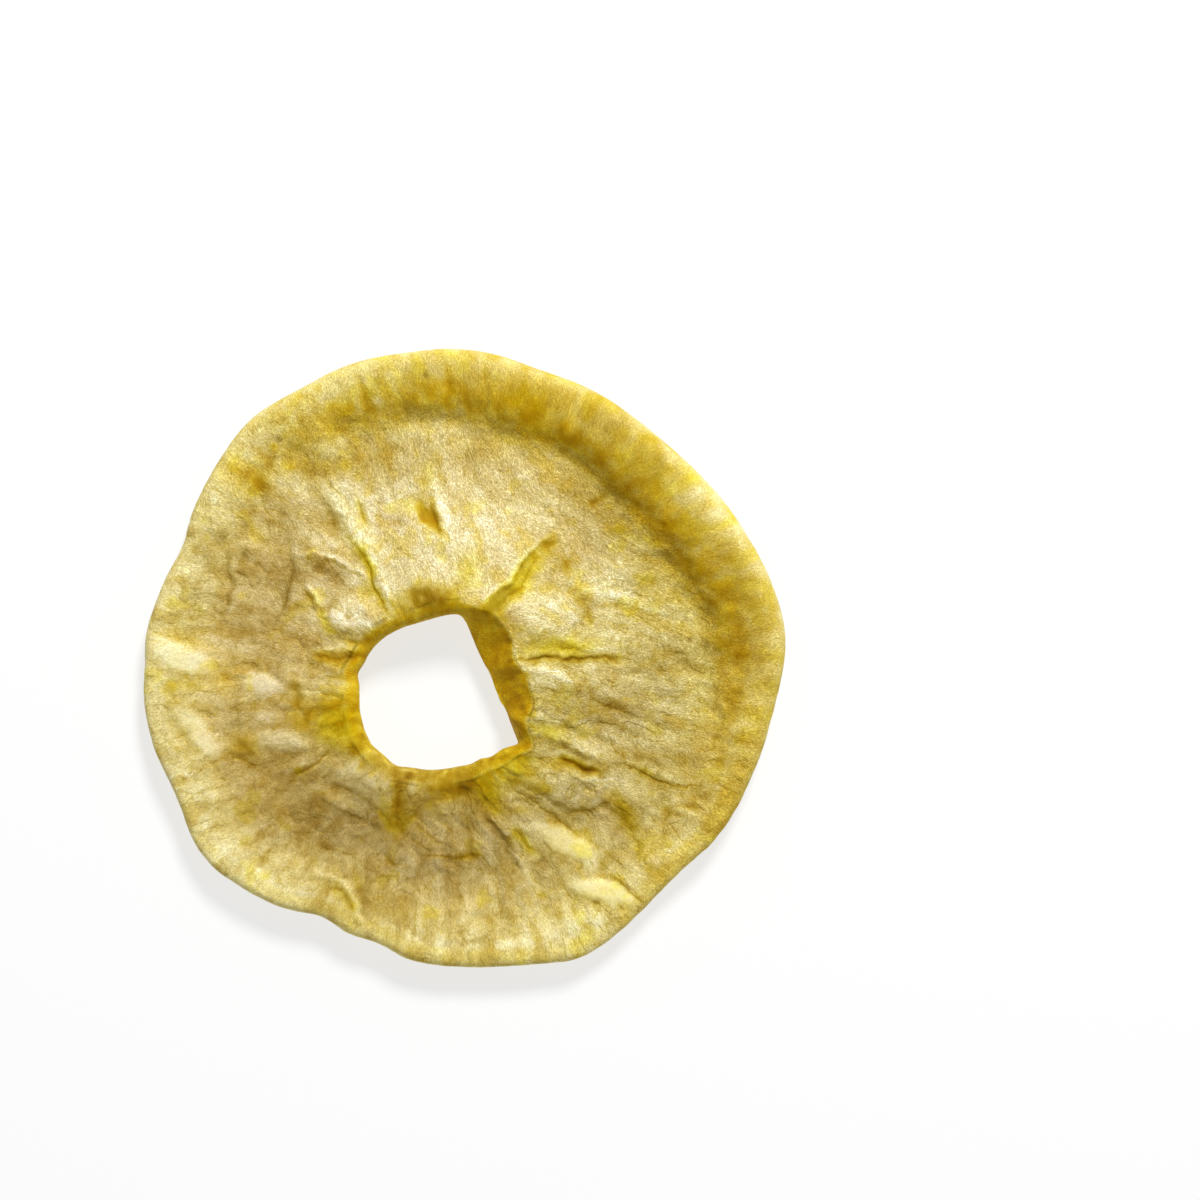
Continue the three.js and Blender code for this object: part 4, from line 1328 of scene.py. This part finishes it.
@dataclass(frozen=True)
class DryingAndShade:
    """How the flesh is tinted: in patches, where it stands, where it lies low, partly with painted
    shade, and with painted shade on its side away from the lamp.
    """

    gold_share: tuple[float, ...] = (0.75, 1.0, 1.0, 1.0, 0.9, 0.35, 0.7, 0.5, 0.35, 0.4, 0.8, 0.7)
    patch: Stroke = Stroke(1.9, 5.0, 0.8)
    patch_bumps: Bumps = Bumps(1.2, 0.5)
    gold_patch: Ease = Ease(0.15, 0.4)
    other_patch: Ease = Ease(0.1, 0.4)
    blush_bumps: tuple[Bumps, ...] = (Bumps(3.6, 1.0, 50.0), Bumps(1.4, 0.4))
    blush: Ease = Ease(0.35, 0.6)
    mottle: Bumps = Bumps(1.6, 0.125, 20.0)
    grain_tan: float = 0.1
    streak: Stroke = Stroke(0.8, 5.0, 0.3, 60.0)
    near_reach: int = 3
    wide_reach: int = 8
    # Where the flesh lies low it takes gold, dull and tan: the golden flesh of hollows with painted
    # shade.
    near_low: Ease = Ease(0.0, 0.16)
    wide_low: Ease = Ease(0.0, 0.4)
    near_high: Ease = Ease(0.0, 0.12)
    wide_high: Ease = Ease(0.0, 0.3)
    lamp_turn: float = LAMP_TURN
    # Painted shade: tan and gold on the side of the relief that faces away from the lamp.
    shade_side: Ease = Ease(0.05, 0.7)
    tan_in_shade_side: float = 0.25
    gold_in_shade_side: float = 0.4
    gold_in_patch: float = 0.5
    gold_in_low: float = 0.35
    dull_in_patch: float = 0.7
    dull_in_low: float = 0.5
    tan_in_low: float = 0.3
    tan_all_over: float = 0.1
    cream_in_patch: float = 0.6
    cream_on_high: float = 0.4
    yellow_in_blush: float = 0.3

    def work(self, flesh: Flesh) -> None:
        """Tint the flesh by its patches and its relief, and paint shade on the side away from the
        light.

        How golden or dull it dries goes by the direction round the ring. A point lies low
        where it is sunk below its surroundings, near by or more widely; the gold, dull and tan
        laid there are partly the golden flesh of hollows and partly painted shade. The shade side,
        painted tan and gold, is where the relief climbs towards the lamp and so faces away from it.

        Args:
            flesh: The skin to work.
        """
        points, noise, top = flesh.grid.points, flesh.noise, flesh.top
        calm = flesh.calm()
        patch = noise.fibres(flesh.stirred, flesh.direction, self.patch)
        patch = (patch + self.patch_bumps.of(noise.stain, flesh.stirred)) * calm
        blush = sum(bumps.of(noise.stain, flesh.stirred) for bumps in self.blush_bumps)
        near, wide = sunk(flesh.height, self.near_reach), sunk(flesh.height, self.wide_reach)
        # The low places: golden flesh of hollows with painted shade.
        low = (self.near_low.at(near) + self.wide_low.at(wide)) * top
        high = (self.near_high.at(-near) + self.wide_high.at(-wide)) * top
        # Painted shade on the side of the relief that faces away from the lamp.
        shade_side = self.shade_side.at(climb(points, flesh.height, self.lamp_turn)) * top
        flesh.tint(Tint.TAN, self.tan_in_shade_side * shade_side)
        flesh.tint(Tint.GOLD, self.gold_in_shade_side * shade_side)
        gold = flesh.round_ring(self.gold_share)
        golden = self.gold_in_patch * self.gold_patch.at(patch) + self.gold_in_low * low
        dull = self.dull_in_patch * self.other_patch.at(patch) + self.dull_in_low * low
        tan = self.mottle.of(noise.stain, points) + self.grain_tan * flesh.grain
        tan = (tan + flesh.fibres(self.streak) + self.tan_in_low * low) * calm
        pale = self.cream_on_high * high + self.cream_in_patch * self.other_patch.at(-patch)
        flesh.tint(Tint.GOLD, gold * golden)
        flesh.tint(Tint.DULL_AND_SHADE, (1.0 - gold) * dull)
        flesh.tint(Tint.YELLOW, self.yellow_in_blush * self.blush.at(blush))
        flesh.tint(Tint.TAN, tan + self.tan_all_over)
        flesh.tint(Tint.CREAM, pale)


@dataclass
class Relief:
    """All that is worked into the skin, in order, and what each point carries for the finish."""

    marks: Marks = field(default_factory=Marks)
    texture: Texture = field(default_factory=Texture)
    cored_edge: CoredEdge = field(default_factory=CoredEdge)
    curled_rim: CurledRim = field(default_factory=CurledRim)
    drying_and_shade: DryingAndShade = field(default_factory=DryingAndShade)
    seam: Stroke = Stroke(1.5, 4.0, 1.0, 5.0)
    seam_fringe: Stroke = Stroke(0.8, 1.6, 0.4, 9.0)
    seam_farthest: float = 2.0
    seam_least: float = 0.35
    rim_hides: float = 0.85
    green_cast: tuple[float, ...] = (
        -0.06, -0.03, 0.0, 0.0, -0.01, 0.0, 0.03, 0.035, 0.0, 0.01, 0.0, -0.05,
    )
    blue_cast: tuple[float, ...] = (
        -0.19, -0.13, -0.11, -0.15, -0.18, -0.14, -0.04, 0.04, -0.03, -0.03, -0.01, -0.16,
    )
    cast_fade: Ease = Ease(0.72, 0.86)
    fray: Bumps = Bumps(1.0, 0.5)
    fray_grain: float = 0.3
    deepest_layer: float = 1.8
    moist_yellow: float = 0.4
    fuzz_share: tuple[float, ...] = (
        1.05, 1.05, 1.05, 1.05, 1.0, 0.85, 0.7, 0.6, 0.55, 0.6, 0.75, 0.9,
    )
    moist_mats: float = 0.7
    rim_mats: float = 0.35
    swirl: tuple[Bumps, ...] = (Bumps(2.4, 0.7), Bumps(0.9, 0.5))
    flow_radius: float = 20.0
    flow_share: float = 0.6

    def seams(self, flesh: Flesh) -> Array:
        """Lay seams between flakes: the distance from the nearest, and how much it shows.

        Args:
            flesh: The worked skin.

        Returns:
            A vector for each point, its third part being nothing.
        """
        noise, texture = flesh.noise, self.texture
        values = noise.flakes(flesh.stirred, flesh.direction, self.seam)
        values += noise.fibres(flesh.stirred, flesh.direction, self.seam_fringe)
        away = line_distance(flesh.grid.points, values)
        away = np.clip(away, -self.seam_farthest, self.seam_farthest)
        share = self.seam_least + (1.0 - self.seam_least) * flesh.round_ring(texture.flake_share)
        share = share * (1.0 - self.rim_hides * flesh.smooth_rim) * (1.0 - flesh.wall)
        return np.stack([away, share * flesh.calm() * flesh.top, np.zeros_like(away)], axis=-1)

    def pigment(self, flesh: Flesh) -> Array:
        """Add up the layers of tint, and the cast of green and blue that goes round the ring.

        Each layer but tan is frayed by noise and levels off: it is the deepest layer times
        the hyperbolic tangent of the layer over the deepest.

        Args:
            flesh: The worked skin.

        Returns:
            How much red, green and blue is taken up at each point.
        """
        fray = self.fray.of(flesh.noise.stain, flesh.grid.points) + self.fray_grain * flesh.grain
        total = np.zeros(flesh.grid.points.shape)
        for tint, layer in flesh.layers.items():
            frayed = np.maximum(layer * (1.0 + fray), 0.0) / self.deepest_layer
            depth = layer if tint is Tint.TAN else self.deepest_layer * np.tanh(frayed)
            total += depth[..., None] * np.array(tint.value)
        face = flesh.top * (1.0 - flesh.wall) * (1.0 - self.cast_fade.at(flesh.along))
        total[..., 1] += face * flesh.round_ring(self.green_cast)
        total[..., 2] += face * flesh.round_ring(self.blue_cast)
        return total

    def flow(self, flesh: Flesh) -> Array:
        """Lay the skin out for the cells: its length along each section, wound on a tube.

        Args:
            flesh: The worked skin.

        Returns:
            The length along the section and the cosine and sine of the section's direction
            on the tube, in millimetres.
        """
        points = flesh.grid.points
        length = np.linalg.norm(np.diff(points, axis=1, prepend=points[:, :1]), axis=-1)
        length = np.cumsum(length, axis=1) * self.flow_share
        around = np.radians(flesh.grid.degrees)[:, None] + np.zeros_like(length)
        wound = [self.flow_radius * np.cos(around), self.flow_radius * np.sin(around)]
        return np.stack([length, *wound], axis=-1)

    def build(self, grid: SkinGrid, form: RingForm) -> tuple[Array, dict[str, Array]]:
        """Work the skin, and give each point what the finish reads.

        Args:
            grid: The skin before anything is worked into it.
            form: The broad form that the skin was carried from.

        Returns:
            The height to raise each point by along its normal; and where the point lies in
            the flow of cells and how much they show, how much red, green and blue the pigment
            takes up, how moist and how fuzzy the flesh is, the way its fibres run, and the
            distance from the lines of its folds and flakes with how much they show.
        """
        flesh = Flesh(grid, form)
        for feature in (self.marks, self.texture, self.cored_edge, self.curled_rim, self.drying_and_shade):
            feature.work(flesh)
        calm = flesh.calm()
        moist = flesh.layers[Tint.AMBER] + self.moist_yellow * flesh.layers[Tint.YELLOW]
        moist = np.clip(moist + flesh.sleek * flesh.top, 0.0, 1.0)
        fuzz = (1.0 - self.moist_mats * moist) * (1.0 - self.rim_mats * flesh.smooth_rim)
        cells = flesh.round_ring(self.texture.pillow_share) * (1.0 - self.rim_hides * flesh.smooth_rim)
        turn = np.arctan2(flesh.direction[..., 1], flesh.direction[..., 0])
        turn = turn + sum(bumps.of(flesh.noise.warp, grid.points) for bumps in self.swirl)
        nothing = np.zeros_like(turn)
        carried = {
            "flow": self.flow(flesh) * MM,
            "cell_share": cells * (1.0 - flesh.wall) * flesh.top * calm,
            "pigment": self.pigment(flesh),
            "moist": moist,
            "fuzz": fuzz * flesh.round_ring(self.fuzz_share),
            "fibre": np.stack([np.cos(turn), np.sin(turn), nothing], axis=-1),
            "fold_line": np.stack([flesh.line_away, flesh.line * flesh.top, nothing], axis=-1),
            "flake_line": self.seams(flesh),
        }
        return flesh.height, carried


# ---- Shader sums ----


class Sum:
    """One output of a node, on which Python's operators add Math nodes."""

    def __init__(self, sheet: "NodeSheet", socket: bpy.types.NodeSocket | None) -> None:
        """Wrap a socket of a sheet, or none for a node that only takes in."""
        self.sheet = sheet
        self.socket = socket

    def __add__(self, other: Any) -> "Sum":
        """Add."""
        return self.sheet.math("ADD", self, other)

    __radd__ = __add__

    def __mul__(self, other: Any) -> "Sum":
        """Multiply."""
        return self.sheet.math("MULTIPLY", self, other)

    __rmul__ = __mul__

    def __sub__(self, other: Any) -> "Sum":
        """Take other away."""
        return self.sheet.math("SUBTRACT", self, other)

    def __rsub__(self, other: Any) -> "Sum":
        """Take this from other."""
        return self.sheet.math("SUBTRACT", other, self)

    def raised(self) -> "Sum":
        """Give e to the power of the value."""
        return self.sheet.math("EXPONENT", self)

    def bell(self) -> "Sum":
        """Give e to the minus square of the value."""
        return (0.0 - self * self).raised()


class NodeSheet:
    """A material's node tree, written as sums."""

    def __init__(self, tree: bpy.types.NodeTree) -> None:
        """Take a tree and empty it."""
        self.tree = tree
        tree.nodes.clear()

    def node(
        self, kind: str, settings: dict[str, Any], sockets: dict[int | str, Any], output: int | str = 0
    ) -> Sum:
        """Add a node.

        Args:
            kind: The node's type.
            settings: Its properties, set before its sockets.
            sockets: A value or a link for each socket named or numbered.
            output: The output wanted.

        Returns:
            That output, ready for sums.
        """
        made = self.tree.nodes.new(kind)
        for name, value in settings.items():
            setattr(made, name, value)
        for key, value in sockets.items():
            if isinstance(value, Sum):
                self.tree.links.new(value.socket, made.inputs[key])
            else:
                made.inputs[key].default_value = value
        return Sum(self, made.outputs[output] if made.outputs else None)

    def math(self, operation: str, *terms: Any) -> Sum:
        """Add a Math node of an operation on its terms."""
        return self.node("ShaderNodeMath", {"operation": operation}, dict(enumerate(terms)))

    def moved(self, start: Any, way: Any, share: Any) -> Sum:
        """Add a share of one vector to another."""
        step = self.node("ShaderNodeVectorMath", {"operation": "SCALE"}, {0: way, "Scale": share})
        return self.node("ShaderNodeVectorMath", {"operation": "ADD"}, {0: start, 1: step})

    def parts(self, vector: Sum) -> list[Sum]:
        """Take a vector apart."""
        return [self.node("ShaderNodeSeparateXYZ", {}, {0: vector}, part) for part in "XYZ"]

    def mask(self, name: str) -> Sum:
        """Read a number that the mesh carries."""
        return self.node("ShaderNodeAttribute", {"attribute_name": name}, {}, "Fac")

    def vector_mask(self, name: str) -> Sum:
        """Read a vector that the mesh carries."""
        return self.node("ShaderNodeAttribute", {"attribute_name": name}, {}, "Vector")

    def eased(self, value: Sum, ease: Ease) -> Sum:
        """Ease a value from 0 to 1."""
        return self.node(
            "ShaderNodeMapRange",
            {"interpolation_type": "SMOOTHSTEP"},
            {0: value, 1: ease.low, 2: ease.high, 3: 0.0, 4: 1.0},
        )

    def drawn(self, place: Sum, way: Sum, width: float, length: float, count: int) -> Sum:
        """Draw noise out along a way: the mean of noise at places evenly spaced along it.

        Args:
            place: Where the shading is.
            way: The unit vector to draw it out along.
            width: How wide the strokes are, in millimetres.
            length: How long they are.
            count: How many places to take.

        Returns:
            The drawn-out noise, from 0 to 1.
        """
        steps = [length * MM * (index / (count - 1) - 0.5) for index in range(count)]
        taken = [self.noise(self.moved(place, way, step), width) for step in steps]
        return sum(taken[1:], taken[0]) * (1.0 / count)

    def cells(self, place: Sum, size: float, kind: str, output: str) -> Sum:
        """Divide space into cells.

        Args:
            place: Where the shading is.
            size: How large the cells are, in millimetres.
            kind: What is measured: the distance to the edge, or to the nearest middle.
            output: The output wanted: the distance, or the colour drawn for the cell.

        Returns:
            That output.
        """
        return self.node(
            "ShaderNodeTexVoronoi",
            {"voronoi_dimensions": "3D", "feature": kind},
            {"Vector": place, "Scale": 1.0 / (size * MM)},
            output,
        )

    def noise(
        self,
        place: Sum,
        size: float,
        detail: float = 0.0,
        roughness: float = 0.5,
        output: int | str = 0,
    ) -> Sum:
        """Add noise from 0 to 1.

        Args:
            place: Where the shading is.
            size: How large its bumps are, in millimetres.
            detail: How many finer noises are added to it.
            roughness: How much they count.
            output: The output wanted: one number, or the three of Color.

        Returns:
            The noise.
        """
        return self.node(
            "ShaderNodeTexNoise",
            {"noise_dimensions": "3D"},
            {"Vector": place, "Scale": 1.0 / (size * MM), "Detail": detail, "Roughness": roughness},
            output,
        )


@dataclass(frozen=True)
class FleshFinish:
    """Dried apple flesh: leathery, pale yellow, with short fibres, flakes, cells and creases.

    A name that ends in tan, brown or gold says how much of that tint is taken up.
    """

    ground: tuple[float, float, float] = (0.65, 0.53, 0.205)
    grain_takes: tuple[float, float, float] = (0.30, 0.35, 0.55)
    thread_width: float = 0.13
    thread_length: float = 0.21
    thread_places: int = 7
    thread_tan: float = 2.7
    thread_height: float = 0.042
    pale_threads: Ease = Ease(0.54, 0.62)
    dark_threads: Ease = Ease(0.46, 0.38)
    stroke_tan: float = 0.35
    tuft_width: float = 0.34
    tuft_length: float = 0.6
    tuft_places: int = 5
    tuft_tan: float = 1.5
    tuft_height: float = 0.035
    speck_size: float = 0.12
    speck_tan: float = 2.2
    speck_height: float = 0.014
    wander: float = 0.3
    wander_size: float = 0.35
    fold_line_width: float = 0.14
    fold_line_depth: float = 0.06
    fold_line_brown: float = 0.7
    fold_line_gold: float = 0.8
    flake_line_width: float = 0.09
    flake_line_depth: float = 0.03
    flake_line_brown: float = 0.35
    flake_line_gold: float = 0.5
    flake_step: float = 0.03
    flake_step_slope: float = 0.7
    broken_size: float = 1.6
    broken: Ease = Ease(0.45, 0.6)
    cell_size: float = 3.4
    cell_bend: float = 2.2
    bend_size: float = 1.4
    bend_detail: float = 2.0
    bend_roughness: float = 0.6
    cell_line_width: float = 0.12
    cell_line_depth: float = 0.02
    cell_line_brown: float = 0.5
    cell_tan: float = 1.0
    cell_puff: float = 0.17
    cell_side: Ease = Ease(0.0, 0.35)
    worn_size: float = 2.2
    worn: Ease = Ease(0.4, 0.58)
    roughness: float = 0.7
    moist_smooths: float = 0.25
    refraction: float = 1.4
    gloss: float = 0.06
    glow_share: float = 0.5
    glow_reach: tuple[float, float, float] = (1.0, 0.8, 0.35)
    glow_depth: float = 0.5

    def fibres(self, sheet: NodeSheet, place: Sum) -> tuple[Sum, Sum]:
        """Draw threads and tufts out along the fibres that the mesh carries, and add specks.

        Args:
            sheet: The material's sheet.
            place: Where the shading is.

        Returns:
            How much paler than the flesh they are, and how high they stand.
        """
        way = sheet.vector_mask("fibre")
        threads = sheet.drawn(place, way, self.thread_width, self.thread_length, self.thread_places)
        tufts = sheet.drawn(place, way, self.tuft_width, self.tuft_length, self.tuft_places)
        specks = sheet.noise(place, self.speck_size)
        strokes = sheet.eased(threads, self.pale_threads) - sheet.eased(threads, self.dark_threads)
        paler = (threads - 0.5) * self.thread_tan + strokes * self.stroke_tan
        paler = paler + (tufts - 0.5) * self.tuft_tan + (specks - 0.5) * self.speck_tan
        high = threads * self.thread_height + tufts * self.tuft_height + specks * self.speck_height
        return paler, high

    def lines(self, sheet: NodeSheet, place: Sum) -> tuple[Sum, Sum, Sum]:
        """Draw the thin lines of the folds and flakes.

        A line is e to the minus square of the distance from it over its width, and a flake
        stands over the next by the hyperbolic tangent of that share.

        Args:
            sheet: The material's sheet.
            place: Where the shading is.

        Returns:
            The folds' lines, the flakes' lines and the flakes' steps in height.
        """
        fold_away, fold_share, _ = sheet.parts(sheet.vector_mask("fold_line"))
        flake_away, flake_share, _ = sheet.parts(sheet.vector_mask("flake_line"))
        flake_share = flake_share * sheet.eased(sheet.noise(place, self.broken_size), self.broken)
        wander = (sheet.noise(place, self.wander_size) - 0.5) * self.wander
        fold_off = (fold_away + wander) * (1.0 / self.fold_line_width)
        flake_off = (flake_away + wander) * (1.0 / self.flake_line_width)
        step = sheet.math("TANH", flake_off * self.flake_step_slope) * flake_share
        return fold_off.bell() * fold_share, flake_off.bell() * flake_share, step * self.flake_step

    def cells(self, sheet: NodeSheet, place: Sum) -> tuple[Sum, Sum, Sum]:
        """Divide the flesh into bent, puffed cells that show in patches.

        Args:
            sheet: The material's sheet.
            place: Where the shading is.

        Returns:
            The lines between cells, how tan each cell is, and how far it is puffed.
        """
        bend = sheet.noise(place, self.bend_size, self.bend_detail, self.bend_roughness, "Color")
        bent = sheet.moved(sheet.vector_mask("flow"), bend, self.cell_bend * MM)
        to_edge = sheet.cells(bent, self.cell_size, "DISTANCE_TO_EDGE", "Distance")
        drawn = sheet.parts(sheet.cells(bent, self.cell_size, "F1", "Color"))[0]
        worn = sheet.eased(sheet.noise(place, self.worn_size), self.worn) * sheet.mask("cell_share")
        line = (to_edge * (self.cell_size / self.cell_line_width)).bell() * worn
        return line, (0.5 - drawn) * worn, sheet.eased(to_edge, self.cell_side) * worn

    def material(self) -> bpy.types.Material:
        """Write the finish as a material.

        Pigment, fibres, lines and cells add up to what each part of the colour takes up, and
        the colour is the ground's times e to the minus that.

        Returns:
            The material.
        """
        made = bpy.data.materials.new("dried_flesh_finish")
        made.use_nodes = True
        sheet = NodeSheet(made.node_tree)
        place = sheet.node("ShaderNodeTexCoord", {}, {}, "Object")
        fuzz = sheet.mask("fuzz")
        paler, high = self.fibres(sheet, place)
        fold, flake, step = self.lines(sheet, place)
        cell, cell_tan, puff = self.cells(sheet, place)

        # The brown and gold of the fold, flake and cell lines are partly the creases' own colour and
        # partly painted shade in them.
        brown = fold * self.fold_line_brown + flake * self.flake_line_brown
        gold = fold * self.fold_line_gold + flake * self.flake_line_gold
        takes = sheet.moved(sheet.vector_mask("pigment"), self.grain_takes, (0.0 - paler) * fuzz)
        takes = sheet.moved(takes, Tint.BROWN.value, brown + cell * self.cell_line_brown)
        takes = sheet.moved(takes, Tint.GOLD.value, gold)
        takes = sheet.moved(takes, Tint.TAN.value, cell_tan * self.cell_tan)
        colours = enumerate(zip(sheet.parts(takes), self.ground))
        shade = sheet.node(
            "ShaderNodeCombineColor",
            {},
            {index: (0.0 - part).raised() * light for index, (part, light) in colours},
        )
        deep = fold * self.fold_line_depth + flake * self.flake_line_depth
        height = high * fuzz + step + puff * self.cell_puff - deep - cell * self.cell_line_depth
        bump = sheet.node("ShaderNodeBump", {}, {"Strength": 1.0, "Distance": MM, "Height": height})
        shader = sheet.node(
            "ShaderNodeBsdfPrincipled",
            {},
            {
                "Base Color": shade,
                "Roughness": self.roughness - self.moist_smooths * sheet.mask("moist"),
                "IOR": self.refraction,
                "Specular IOR Level": self.gloss,
                "Subsurface Weight": self.glow_share,
                "Subsurface Radius": self.glow_reach,
                "Subsurface Scale": self.glow_depth * MM,
                "Normal": bump,
            },
        )
        sheet.node("ShaderNodeOutputMaterial", {}, {"Surface": shader})
        return made


@dataclass
class DriedRing:
    """The whole ring: its skin, its relief and its finish."""

    form: RingForm = field(default_factory=RingForm)
    relief: Relief = field(default_factory=Relief)
    finish: FleshFinish = field(default_factory=FleshFinish)
    name: str = "dried_apple_flesh"

    def surface(self) -> tuple[Array, dict[str, Array]]:
        """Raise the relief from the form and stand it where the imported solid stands.

        Returns:
            The skin's points in millimetres, and what each carries for the finish.
        """
        grid = self.form.skin()
        height, carried = self.relief.build(grid, self.form)
        points = grid.points + grid.normals() * height[..., None]
        low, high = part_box(NODE)
        centre = (np.array(low) + np.array(high)) / (2.0 * MM)
        flat = grid.points.reshape(-1, 3)
        shift = centre - (flat.min(axis=0) + flat.max(axis=0)) / 2.0
        points = points + np.array([shift[0], shift[1], 0.0])
        points[..., 2] = np.maximum(points[..., 2], low[2] / MM)
        return points, carried

    def mesh(self, points: Array, carried: dict[str, Array]) -> bpy.types.Object:
        """Join the points into one closed skin of four-sided faces.

        Args:
            points: Rows of sections, columns of places along them.
            carried: What each point carries for the finish, as numbers or vectors.

        Returns:
            The object, at the origin.
        """
        rows, columns = points.shape[:2]
        number = np.arange(rows * columns).reshape(rows, columns)
        after = np.roll(number, -1, axis=1)
        beyond = np.roll(number, -1, axis=0)
        corner = np.roll(beyond, -1, axis=1)
        faces = np.stack([number, after, corner, beyond], axis=-1).reshape(-1, 4)
        data = bpy.data.meshes.new(self.name)
        data.from_pydata((points * MM).reshape(-1, 3).tolist(), [], faces.tolist())
        data.polygons.foreach_set("use_smooth", np.ones(len(faces), bool))
        for label, values in carried.items():
            kind, key = ("FLOAT_VECTOR", "vector") if values.ndim == 3 else ("FLOAT", "value")
            layer = data.attributes.new(label, kind, "POINT")
            layer.data.foreach_set(key, values.reshape(-1).astype(np.float32))
        data.update()
        made = bpy.data.objects.new(self.name, data)
        bpy.context.scene.collection.objects.link(made)
        return made

    def build(self) -> bpy.types.Object:
        """Make the ring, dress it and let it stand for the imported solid.

        Returns:
            The ring's object.
        """
        points, carried = self.surface()
        made = self.mesh(points, carried)
        made.data.materials.append(self.finish.material())
        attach(made, "root")
        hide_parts(NODE)
        log.info("%s: %d faces", made.name, len(made.data.polygons))
        return made


# ---- Studio ----


@dataclass
class Studio:
    """A pale table under one large soft lamp, with a camera straight above."""

    frame_width: float = 127.1
    frame_middle: Point = (14.44, 6.27)
    focus_height: float = 5.0
    lens: float = 85.0
    sensor: float = 36.0
    lamp_azimuth: float = LAMP_TURN
    lamp_elevation: float = 46.0
    lamp_distance: float = 620.0
    lamp_size: float = 150.0
    lamp_watts: float = 3.7
    sky: float = 0.4
    table_size: float = 8000.0
    table_grey: float = 0.3
    table_roughness: float = 0.9
    table_gloss: float = 0.1
    table_glow: float = 0.68

    def table(self) -> bpy.types.Object:
        """Lay the plain pale table top.

        Returns:
            The table's object.
        """
        half = self.table_size * MM / 2.0
        corners = [(-half, -half, 0.0), (half, -half, 0.0), (half, half, 0.0), (-half, half, 0.0)]
        data = bpy.data.meshes.new("table_top")
        data.from_pydata(corners, [], [(0, 1, 2, 3)])
        made = bpy.data.objects.new("table_top", data)
        bpy.context.scene.collection.objects.link(made)
        material = bpy.data.materials.new("table_paper")
        material.use_nodes = True
        sheet = NodeSheet(material.node_tree)
        shader = sheet.node(
            "ShaderNodeBsdfPrincipled",
            {},
            {
                "Base Color": (self.table_grey, self.table_grey, self.table_grey, 1.0),
                "Roughness": self.table_roughness,
                "Specular IOR Level": self.table_gloss,
                "Emission Color": WHITE,
                "Emission Strength": self.table_glow,
            },
        )
        sheet.node("ShaderNodeOutputMaterial", {}, {"Surface": shader})
        data.materials.append(material)
        log.info("%s: %.0f mm wide", made.name, self.table_size)
        return made

    def lights(self) -> None:
        """Hang the soft lamp and set the even light from all round."""
        lamp = bpy.data.lights.new("soft_lamp", "AREA")
        lamp.shape = "DISK"
        lamp.size = self.lamp_size * MM
        lamp.energy = self.lamp_watts
        made = bpy.data.objects.new("soft_lamp", lamp)
        bpy.context.scene.collection.objects.link(made)
        azimuth, elevation = math.radians(self.lamp_azimuth), math.radians(self.lamp_elevation)
        way = Vector(
            (
                math.cos(azimuth) * math.cos(elevation),
                math.sin(azimuth) * math.cos(elevation),
                math.sin(elevation),
            )
        )
        made.location = way * self.lamp_distance * MM
        made.rotation_euler = way.to_track_quat("Z", "Y").to_euler()
        world = bpy.data.worlds.new("even_light")
        world.use_nodes = True
        sheet = NodeSheet(world.node_tree)
        sky = sheet.node("ShaderNodeBackground", {}, {"Color": WHITE, "Strength": self.sky})
        sheet.node("ShaderNodeOutputWorld", {}, {"Surface": sky})
        bpy.context.scene.world = world
        log.info("soft_lamp: %.1f W", self.lamp_watts)

    def camera(self) -> None:
        """Set the camera straight above the middle of the frame, looking down."""
        data = bpy.data.cameras.new("camera_above")
        data.lens = self.lens
        data.sensor_width = self.sensor
        made = bpy.data.objects.new("camera_above", data)
        bpy.context.scene.collection.objects.link(made)
        distance = self.frame_width * self.lens / self.sensor
        made.location = Vector((*self.frame_middle, distance + self.focus_height)) * MM
        bpy.context.scene.camera = made
        bpy.context.scene.view_settings.view_transform = "Standard"
        log.info("camera_above: %.0f mm up", distance + self.focus_height)


def main() -> None:
    """Build the ring, the table, the lights and the camera."""
    logging.basicConfig(level=logging.INFO)
    studio = Studio()
    studio.camera()
    studio.table()
    studio.lights()
    DriedRing().build()


if __name__ == "__main__":
    main()
